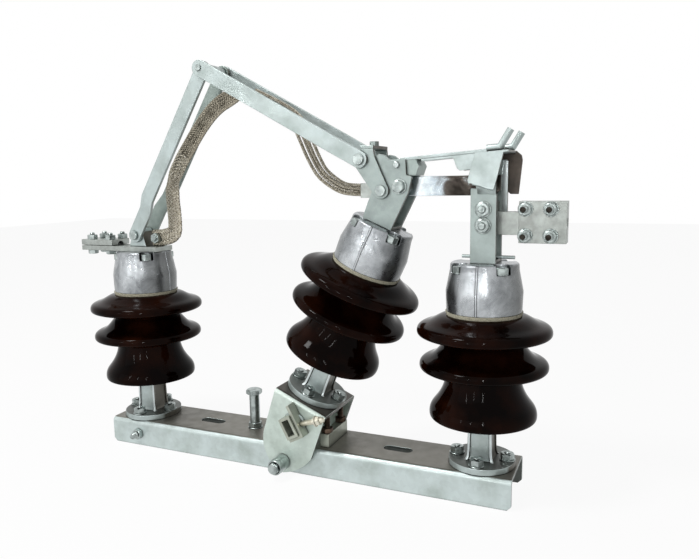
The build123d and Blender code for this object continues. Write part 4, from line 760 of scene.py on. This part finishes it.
def stop_screws():
    """Two rusty set screws that the closed rocker rests on, each with a nut on both sides."""
    head_height, nut_height, nut_low = 7, 8, 22
    head_low = STOP_SCREW_TOP - head_height
    screw = joined(
        [
            moved(hexagon(17, head_height), at(0, 0, head_low)),
            moved(hexagon(17, nut_height), at(0, 0, nut_low, 14)),
            moved(hexagon(17, nut_height), at(0, 0, -13, 14)),
            threaded(POST_STUD, nut_low + nut_height - LAP, head_low + LAP, tip=0.2),
        ]
    )
    places = [at(STOP_BLOCK_X, side * STOP_SCREW_Y, 0, 10 * side) for side in (-1, 1)]
    screws = set_out(screw, places)
    # Rust brown, darkened as painted shade under the rocker's plate
    fasteners(screws, "stop_screws_threaded", "base", ["stop_screws"], RUSTED_AND_SHADED)


def earth_bolt():
    """Bolt through the front flange, with a nut and stud end outside and a nut inside."""
    nut_height = 8
    outside = (EARTH_X, -CHANNEL_SIDE, PIVOT_Z)
    bolt = joined(
        [
            moved(hexagon(17, nut_height), facing_front(*outside, 10)),
            moved(threaded(POST_STUD, nut_height - LAP, 20.0), facing_front(*outside)),
            moved(hexagon(17, 6), facing_back(EARTH_X, -FLANGE_INNER_SIDE, PIVOT_Z)),
        ]
    )
    fasteners(bolt, "flange_bolt_threaded", "base", ["flange_bolt"])


DRIVE_SCREW_FOOT = Vector((6.2, -70.0, 80.5))
DRIVE_SCREW_RISE = math.radians(40.6)
DRIVE_SCREW_SHANK = [(0, 0), (2.6, 0.6), (4.3, 6), (4.5, 30), (4.5, 42), (3.6, 43), (0, 43)]


def drive_screw():
    """Plain clamp screw of the drive tube, tapered at its foot, with washer and nut."""
    direction = Vector((math.cos(DRIVE_SCREW_RISE), 0, math.sin(DRIVE_SCREW_RISE)))
    upright = direction.to_track_quat("Z", "Y").to_matrix().to_4x4()
    place = ROCKER @ Matrix.Translation(DRIVE_SCREW_FOOT * MM) @ upright
    seat, thickness = 28, 2
    screw = joined(
        [
            moved(turned(DRIVE_SCREW_SHANK), place),
            moved(washer(8.5, 4, seat, seat + thickness), place),
            moved(hexagon(13, 7), place @ at(0, 0, seat + thickness, 15)),
        ]
    )
    fasteners(screw, "drive_bolt_plain", "rocker", ["drive_bolt"], YELLOW_ZINC)


COLLAR_SECTION = [(9.6, 0.0), (12.2, 0.0), (12.2, 6.2), (11.6, 6.8), (10.2, 6.8), (9.6, 6.2)]
COLLAR_Y = -82.9
SUNK_NUT_Y = -85.6


def pivot_nut():
    """Hollow collar end of the rocker's pivot with the bolt's nut sunk in it."""
    collar = moved(turned(COLLAR_SECTION), facing_front(0, COLLAR_Y, PIVOT_Z))
    nut = moved(hexagon(17, 9.0), facing_front(0, SUNK_NUT_Y, PIVOT_Z, 12))
    fasteners(joined([collar, nut]), "pivot_nut_in_collar", "base")


BOSS_SECTION = [(9.0, 0.0), (19.0, 0.0), (19.0, 3.2), (18.2, 4.0), (9.0, 4.0)]


def tube_ring():
    """Round boss welded on the rocker's side plate where the drive tube passes."""
    x, z = TUBE_CENTRE
    boss = moved(turned(BOSS_SECTION, 48), ROCKER @ facing_front(x, -ROCKER_SIDE, z))
    smooth(boss, SMOOTH_BOLTS)
    finished(boss, "drive_tube_boss", "rocker", FINISH["galvanised"])


post_fasteners(5.0, (LEFT_POST, RIGHT_POST), "outer_post_bolts_threaded", "base", "outer_bolts")
post_fasteners(6.0, (CENTRE_POST,), "centre_post_bolts_threaded", "rocker", "centre_bolts")
clamp_fasteners()
jaw_fasteners()
head_fasteners()
stop_bolt()
stop_screws()
earth_bolt()
drive_screw()
pivot_nut()
tube_ring()


# Sheet, bar and cast parts with broken edges

FACING = 0.7  # share of a normal past which a face counts as turned that way
UPRIGHT = 0.5  # share of a normal below which a face counts as a wall
FLANGE_INSIDE = (40.0, 48.5)
WEB_UNDER = -10.0
SLOT_WALL = (-8.0, -0.7)
SLOT_REACH = 25.0


def inside_channel(face):
    """Faces on the hollow side of the channel, and the walls of its slots."""
    y, z = face.center.y / MM, face.center.z / MM
    out, up = face.normal.y, face.normal.z
    flange = FLANGE_INSIDE[0] < abs(y) < FLANGE_INSIDE[1] and out * y < 0 and abs(out) > FACING
    web = z > WEB_UNDER and up < -FACING
    slot = SLOT_WALL[0] < z < SLOT_WALL[1] and abs(y) < SLOT_REACH and abs(up) < UPRIGHT
    return flange or web or slot


def inside_rear_cheek(face):
    """Faces of the hood's rear cheek that look to the front."""
    return face.center.y > 10 * MM and face.normal.y < -FACING


def on_rear_bar(face):
    return face.center.y > 0


for name in ("head_bracket", "link_plates", "link_bridge", "jaw_post"):
    eased(name, material=BRACKET_ZINC)
eased("latch_block", material=LATCH_ZINC)
eased("rocker_bracket", material=ROCKER_ZINC)
for name in ("drive_tube", "drive_clamp", "stop_block"):
    eased(name, material=DRIVE_ZINC)
for name in (
    "upper_arm_bars",
    "latch_bar",
    "arm_bracket",
    "main_blade",
    "terminal_plate",
    "left_clamp",
    "right_clamp",
    "terminal_tang",
    "braid_anchor",
    "pivot_bolt",
    "foot_pin",
    "apex_pin",
    "head_pin",
    "elbow_bolts",
    "head_lug",
    "horn_rods",
):
    eased(name)
# Painted shade on the inside of the channel and in its slots
stained(eased("base_channel", material=CHANNEL_ZINC), SHADED_ZINC, inside_channel)
# Painted shade on the rear lower bar
stained(eased("lower_arm_bars"), REAR_BAR_SHADED_ZINC, on_rear_bar)
# Painted shade inside the hood's rear cheek
stained(eased("jaw_hood", 0.35, steps=1), CHEEK_SHADED_ZINC, inside_rear_cheek)
for name in ("left", "centre", "right"):
    eased(name + "_cap", 0.9)
for name in ("left", "centre", "right"):
    eased(name + "_base_pin", 0.9)

JAW_EDGE_CENTRE = Vector((333.6, 21.5, 410.8)) * MM
JAW_EDGE_SIZE = Vector((8.2, 5.0, 79.0)) * MM


def rear_jaw_edge():
    """Edge of the rear jaw plate that stands past the front one, with its free corner rounded."""
    clear()
    bpy.ops.mesh.primitive_cube_add(size=1, location=JAW_EDGE_CENTRE)
    piece = bpy.context.object
    piece.scale = JAW_EDGE_SIZE
    bpy.ops.object.transform_apply(location=True, rotation=True, scale=True)
    bpy.ops.object.mode_set(mode="EDIT")
    bpy.ops.mesh.select_all(action="DESELECT")
    bpy.ops.object.mode_set(mode="OBJECT")
    x, _, z = JAW_EDGE_CENTRE
    for edge in piece.data.edges:
        ends = [piece.data.vertices[i].co for i in edge.vertices]
        edge.select = all(end.x > x and end.z > z for end in ends)
    bpy.ops.object.mode_set(mode="EDIT")
    bpy.ops.mesh.select_mode(type="EDGE")
    bpy.ops.mesh.bevel(offset=4 * MM, segments=5, affect="EDGES")
    bpy.ops.object.mode_set(mode="OBJECT")
    rim = piece.modifiers.new("broken_edges", "BEVEL")
    rim.width = 0.5 * MM
    rim.segments = 2
    apply_modifiers(piece)
    smooth(piece, SMOOTH_BOLTS)
    # Painted highlight along the edge of the rear jaw plate
    finished(piece, "jaw_rear_edge", "base", HIGHLIGHT_ZINC)


rear_jaw_edge()


# Ribbed stems of the base castings

# A quarter of the section in half widths: a sunk panel, and the rib on the corner next to it
RIB_SECTION = [(1.0, -0.78), (0.87, -0.72), (0.87, 0.72), (1.0, 0.78), (1.0, 0.94), (0.94, 1.0)]

# Height and half width at each step up a stem, in millimetres
STEM_STEPS = ((9.4, 22.0), (11.0, 20.6), (15.0, 19.4), (24.0, 18.6), (96.5, 17.0))

# Shares of the way to a corner past which a stem's face is the edge of a rib, darkened as painted
# shade, or the rib, paled as a painted highlight
RIB_EDGE = 0.7
RIB = 0.84


def corner_share(face):
    """How far a face lies towards a corner of the stem: 0 at mid side and 1 on the corner."""
    near, far = sorted((abs(face.center.x), abs(face.center.y)))
    return near / far if far > MM else 0


def stem(name, body, post):
    """Square tapered stem with a rib on each corner, flared where it meets the disc."""
    section = []
    for quarter in range(4):
        turn = Matrix.Rotation(math.radians(90 * quarter), 2)
        section += [turn @ Vector(corner) for corner in RIB_SECTION]
    clear()
    bpy.ops.mesh.primitive_circle_add(vertices=len(section), radius=MM, fill_type="NGON")
    piece = bpy.context.object
    low, width = STEM_STEPS[0]
    for vertex, corner in zip(piece.data.vertices, section):
        vertex.co = (corner.x * width * MM, corner.y * width * MM, low * MM)
    bpy.ops.object.mode_set(mode="EDIT")
    bpy.ops.mesh.select_all(action="SELECT")
    for height, next_width in STEM_STEPS[1:]:
        rise = (0, 0, (height - low) * MM)
        bpy.ops.mesh.extrude_region_move(TRANSFORM_OT_translate={"value": rise})
        share = next_width / width
        bpy.ops.transform.resize(value=(share, share, 1), center_override=(0, 0, 0))
        low, width = height, next_width
    bpy.ops.mesh.select_all(action="SELECT")
    bpy.ops.mesh.normals_make_consistent(inside=False)
    bpy.ops.object.mode_set(mode="OBJECT")
    dress(piece, FINISH["galvanised"])
    # Painted highlight on the ribs and painted shade on the faces beside them
    stained(piece, HIGHLIGHT_ZINC, lambda face: corner_share(face) > RIB)
    stained(piece, DARK_ENDS_AND_RIB_SHADE, lambda face: RIB_EDGE < corner_share(face) <= RIB)
    edge = piece.modifiers.new("cast_edges", "BEVEL")
    edge.width = 0.5 * MM
    edge.segments = 2
    edge.angle_limit = math.radians(30)
    apply_modifiers(piece)
    moved(piece, post)
    smooth(piece, SMOOTH_CASTING)
    finished(piece, name, body, None)


stem("left_stem_ribbed", "base", LEFT_POST)
stem("right_stem_ribbed", "base", RIGHT_POST)
stem("centre_stem_ribbed", "rocker", CENTRE_POST)


# Flexible braids: corner points of their routes as (x, z), and sizes, in millimetres

LOWER_ROUTE = (
    (-286.0, 328.3),
    (-238.0, 328.3),
    (-236.0, 362.0),
    (-239.0, 396.0),
    (-238.0, 423.9),
    (-221.9, 454.1),
    (-196.0, 488.0),
    (-166.9, 524.1),
    (-137.0, 551.0),
    (-104.1, 564.9),
    (-95.0, 572.0),
)
UPPER_ROUTE = (
    (-66.0, 564.6),
    (-24.5, 543.1),
    (11.4, 520.5),
    (25.8, 489.3),
    (34.0, 469.8),
    (43.4, 451.5),
    (52.4, 436.8),
    (67.4, 424.6),
    (86.4, 413.1),
    (106.7, 409.8),
    (130.5, 409.7),
)
ROUTE_STEP = 2.0
WEAVE_PITCH = 56.0
LAY_WIDTH = 14.2  # half the width of the lower braid
LAY_THICK = 3.0  # half its thickness
EDGE_ON = 0.40  # share of the way at which it turns half edge-on
FOOT_SHARE = 0.56  # share of the way at which its foot ends and its top begins
BUNDLE_THICK = 0.62
WEAVE_LIFT = 0.8  # how far a bundle passes over and under the others
ROPE_PLACES = ((-9.6, 1.2), (-3.2, -1.6), (3.2, 1.4), (9.6, -1.0))  # across and out of the flat
ROPE_WIRES = 6
ROPE_LAY = 22.0  # length of one turn of the wires
ROPE_RADIUS = 1.9
ROPE_WIRE_RADIUS = 0.95
ROPES_CLOSED = 0.72  # how close the ropes lie at both ends, as a share of their places


def route(corners):
    """Evenly spaced points along the spline through a braid's corner points, in millimetres."""
    curve = bpy.data.curves.new("braid_route", "CURVE")
    curve.dimensions = "3D"
    spline = curve.splines.new("NURBS")
    spline.points.add(len(corners) - 1)
    for point, (x, z) in zip(spline.points, corners):
        point.co = (x * MM, 0, z * MM, 1)
    spline.order_u = 3
    spline.use_endpoint_u = True
    spline.resolution_u = 24
    line = bpy.data.objects.new("braid_route", curve)
    bpy.context.scene.collection.objects.link(line)
    bpy.context.view_layer.update()
    mesh = bpy.data.meshes.new_from_object(line)
    points = [vertex.co / MM for vertex in mesh.vertices]
    bpy.data.objects.remove(line)
    bpy.data.meshes.remove(mesh)
    lengths = [0.0]
    for a, b in zip(points, points[1:]):
        lengths.append(lengths[-1] + (b - a).length)
    count = max(2, round(lengths[-1] / ROUTE_STEP))
    even, index = [], 0
    for number in range(count + 1):
        want = lengths[-1] * number / count
        while index < len(lengths) - 2 and lengths[index + 1] < want:
            index += 1
        share = (want - lengths[index]) / max(1e-9, lengths[index + 1] - lengths[index])
        even.append(points[index].lerp(points[index + 1], min(1.0, share)))
    return even, lengths[-1]


def stations(points, twist):
    """Point, direction across the flat and direction out of the flat at each place on a route."""
    made = []
    front = Vector((0, -1, 0))
    for index, point in enumerate(points):
        before, after = points[max(0, index - 1)], points[min(len(points) - 1, index + 1)]
        along = (after - before).normalized()
        across = front.cross(along).normalized()
        turn = twist(index / (len(points) - 1))
        wide = across * math.cos(turn) + front * math.sin(turn)
        out = front * math.cos(turn) - across * math.sin(turn)
        made.append((point, wide, out))
    return made


def tubes(paths):
    """Mesh of closed wires with six sides.

    Each path is a list of (centre, across, out, half width, half thickness).
    """
    sides = 6
    vertices, faces = [], []
    for path in paths:
        first = len(vertices)
        for centre, across, out, wide, thick in path:
            for side in range(sides):
                a = 2 * math.pi * side / sides
                rim = across * (wide * math.cos(a)) + out * (thick * math.sin(a))
                vertices.append((centre + rim) * MM)
        rings = len(path)
        for ring in range(rings - 1):
            for side in range(sides):
                a = first + ring * sides + side
                b = first + ring * sides + (side + 1) % sides
                faces.append((a, b, b + sides, a + sides))
        faces.append(tuple(first + side for side in range(sides))[::-1])
        faces.append(tuple(first + (rings - 1) * sides + side for side in range(sides)))
    mesh = bpy.data.meshes.new("wires")
    mesh.from_pydata(vertices, [], faces)
    mesh.validate()
    piece = bpy.data.objects.new("wires", mesh)
    bpy.context.scene.collection.objects.link(piece)
    pick(piece)
    bpy.ops.object.mode_set(mode="EDIT")
    bpy.ops.mesh.select_all(action="SELECT")
    bpy.ops.mesh.normals_make_consistent(inside=False)
    bpy.ops.object.mode_set(mode="OBJECT")
    smooth(piece, SMOOTH_WIRES)
    return piece


def bulged(value, power):
    """Rounder or flatter sine, so that a tube's section fills out as when it is pressed flat."""
    return math.copysign(abs(value) ** power, value)


def flat_braid(line, first, last, half_width, carriers, bundle):
    """Tubular braid pressed flat: a core, and two opposed sets of wire bundles, over and under."""
    part = list(enumerate(line[first : last + 1], first))
    core = [(p, wide, out, half_width(i) * 0.94, LAY_THICK * 0.6) for i, (p, wide, out) in part]
    paths = [core]
    for way in (1, -1):
        for carrier in range(carriers):
            path = []
            for index, (point, across, out) in part:
                round_trips = way * index * ROUTE_STEP / WEAVE_PITCH
                turn = 2 * math.pi * (carrier / carriers + round_trips)
                lift = WEAVE_LIFT * math.cos(2 * math.pi * round_trips * carriers) * way
                flat_c = bulged(math.cos(turn), 0.75)
                flat_s = bulged(math.sin(turn), 0.45)
                wide = half_width(index) - 1.0
                rise = LAY_THICK - 0.9 + lift
                centre = point + across * (wide * flat_c) + out * (rise * flat_s)
                outward = (out * (flat_s / LAY_THICK) + across * (flat_c / wide)).normalized()
                flatways = outward.cross(across.cross(out)).normalized()
                path.append((centre, flatways, outward, bundle, BUNDLE_THICK))
            paths.append(path)
    return tubes(paths)


def lower_braid():
    """Flat braid from its bolt on the left terminal up between the lower bars, as foot and top."""
    points, length = route(LOWER_ROUTE)
    count = len(points) - 1

    def twist(share):
        """The braid turns half edge-on where it crosses in front of the rear bar."""
        return math.radians(52) * math.exp(-(((share - EDGE_ON) / 0.055) ** 2))

    def half_width(index):
        """The braid is drawn in where it turns on edge."""
        return LAY_WIDTH - 4.0 * math.exp(-(((index / count - EDGE_ON) / 0.07) ** 2))

    line = stations(points, twist)
    split = round(FOOT_SHARE * count)
    foot = flat_braid(line, 0, split, half_width, carriers=9, bundle=1.9)
    top = flat_braid(line, split, count, half_width, carriers=13, bundle=1.35)
    finished(foot, "lower_braid_foot_woven", None, BRIGHT_BRAID, ["braid_lower"])
    finished(top, "lower_braid_top_woven", None, FINISH["braid"], ["braid_lower"])
    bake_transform(foot)
    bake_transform(top)
    return length


def upper_braid():
    """Four loose ropes of twisted wires that leave the arm together and meet again in the lug."""
    points, length = route(UPPER_ROUTE)
    line = stations(points, lambda share: 0.0)
    count = len(points) - 1
    paths = []
    for rope, (aside, fore) in enumerate(ROPE_PLACES):
        for wire in range(ROPE_WIRES):
            path = []
            for index, (point, across, out) in enumerate(line):
                bow = math.sin(math.pi * min(1, index / count * 1.15))
                open_up = ROPES_CLOSED + (1 - ROPES_CLOSED) * bow
                centre = point + across * (aside * open_up) + out * (fore * open_up)
                lay = wire / ROPE_WIRES + index * ROUTE_STEP / ROPE_LAY + rope * 0.17
                turn = 2 * math.pi * lay
                radial = across * math.cos(turn) + out * math.sin(turn)
                place = centre + radial * ROPE_RADIUS
                path.append((place, across, out, ROPE_WIRE_RADIUS, ROPE_WIRE_RADIUS))
            paths.append(path)
    piece = tubes(paths)
    finished(piece, "upper_braid_stranded", "upper_arm", BRIGHT_BRAID, ["braid_upper"])
    return length


print("braid lengths in mm", round(lower_braid()), round(upper_braid()))


# Finishes of the plain nodes that still show

for name, plain in CAD.items():
    dress(plain, FINISH[SLOT_OF[name]])


# Floor, light and camera

FLOOR_GLOW = 0.93
WORLD_LIGHT = 0.24
# A broad card for the fronts, a soft key from above, and three thin strips for the glaze: name,
# place, point aimed at, width and height in metres, and power in watts
LAMPS = (
    ("card_front_left", (-0.9, -2.2, 0.75), (0, 0, 0.2), 3.0, 1.7, 6),
    ("key_high", (-0.8, -1.0, 2.3), (0, 0, 0.1), 0.5, 0.5, 30),
    ("strip_right", (0.78, -2.15, 0.9), (0.2, 0, 0.3), 0.016, 0.9, 7),
    ("strip_middle", (-0.95, -1.85, 0.95), (0, 0, 0.3), 0.01, 0.8, 3),
    ("strip_front", (-0.15, -2.05, 0.8), (0, 0, 0.3), 0.01, 0.7, 3),
)
CAMERA_PLACE = (0.509685, -0.947038, 0.427157)
CAMERA_TURN = math.radians(23.573)  # to the left of straight ahead
CAMERA_DIP = math.radians(8.67)
CAMERA_ROLL = math.radians(-0.97)
CAMERA_LENS_MM = 34.04
FILM_WIDTH_MM = 36.0


def shown_rays(tree):
    """1 for what is seen, straight or in metal and glass, and 0 for light on the object."""
    rays = node(tree, "LightPath").outputs
    mirrors = {0: rays["Is Glossy Ray"], 1: rays["Is Transmission Ray"]}
    mirrored = node(tree, "Math", mirrors, operation="ADD").outputs[0]
    seen = {0: rays["Is Camera Ray"], 1: mirrored}
    return node(tree, "Math", seen, operation="ADD", use_clamp=True).outputs[0]


def floor():
    """Plain pale floor, which the eye sees near white where no shadow falls."""
    material, tree, shader, _ = start("pale_matt_floor", metallic=0.0, roughness=0.9)
    shader.inputs["Base Color"].default_value = linear("#FAFAFA")
    glow = node(tree, "Emission", {"Color": (1, 1, 1, 1), "Strength": 1.0})
    share = node(tree, "Math", {0: shown_rays(tree), 1: FLOOR_GLOW}, operation="MULTIPLY")
    sides = {0: share.outputs[0], 1: shader.outputs[0], 2: glow.outputs[0]}
    blend = node(tree, "MixShader", sides)
    tree.links.new(blend.outputs[0], tree.nodes["Material Output"].inputs["Surface"])
    clear()
    bpy.ops.mesh.primitive_plane_add(size=12, location=(0, 0, cad_low.z))
    piece = bpy.context.object
    piece.name = "floor"
    dress(piece, material)


def world():
    """White surroundings: full white to the eye, and a low even light on the object."""
    scene_world = bpy.data.worlds.new("white_studio")
    bpy.context.scene.world = scene_world
    scene_world.use_nodes = True
    tree = scene_world.node_tree
    strength = between(tree, shown_rays(tree), 0.0, 1.0, WORLD_LIGHT, 1.0)
    tree.links.new(strength, tree.nodes["Background"].inputs["Strength"])
    tree.nodes["Background"].inputs["Color"].default_value = (1, 1, 1, 1)


def softbox(name, place, aim, width, height, power):
    """Rectangular lamp aimed at a point, in metres and watts."""
    light = bpy.data.lights.new(name, "AREA")
    light.shape = "RECTANGLE"
    light.size = width
    light.size_y = height
    light.energy = power
    lamp = bpy.data.objects.new(name, light)
    lamp.location = place
    lamp.rotation_mode = "QUATERNION"
    lamp.rotation_quaternion = (Vector(aim) - Vector(place)).to_track_quat("-Z", "Y")
    bpy.context.scene.collection.objects.link(lamp)


def camera():
    """Camera at the photograph's viewing angle."""
    flat = math.cos(CAMERA_DIP)
    ahead = Vector(
        (-math.sin(CAMERA_TURN) * flat, math.cos(CAMERA_TURN) * flat, -math.sin(CAMERA_DIP))
    )
    level = Vector((math.cos(CAMERA_TURN), math.sin(CAMERA_TURN), 0))
    above = level.cross(ahead)
    right = level * math.cos(CAMERA_ROLL) + above * math.sin(CAMERA_ROLL)
    up = above * math.cos(CAMERA_ROLL) - level * math.sin(CAMERA_ROLL)
    made = bpy.data.objects.new("camera", bpy.data.cameras.new("camera"))
    made.data.sensor_width = FILM_WIDTH_MM
    made.data.lens = CAMERA_LENS_MM
    made.data.clip_start = 0.01
    turned_to = Matrix((right, up, -ahead)).transposed().to_4x4()
    made.matrix_world = Matrix.Translation(CAMERA_PLACE) @ turned_to
    bpy.context.scene.collection.objects.link(made)
    bpy.context.scene.camera = made


floor()
world()
for lamp_row in LAMPS:
    softbox(*lamp_row)
camera()
bpy.context.scene.view_settings.view_transform = "Standard"
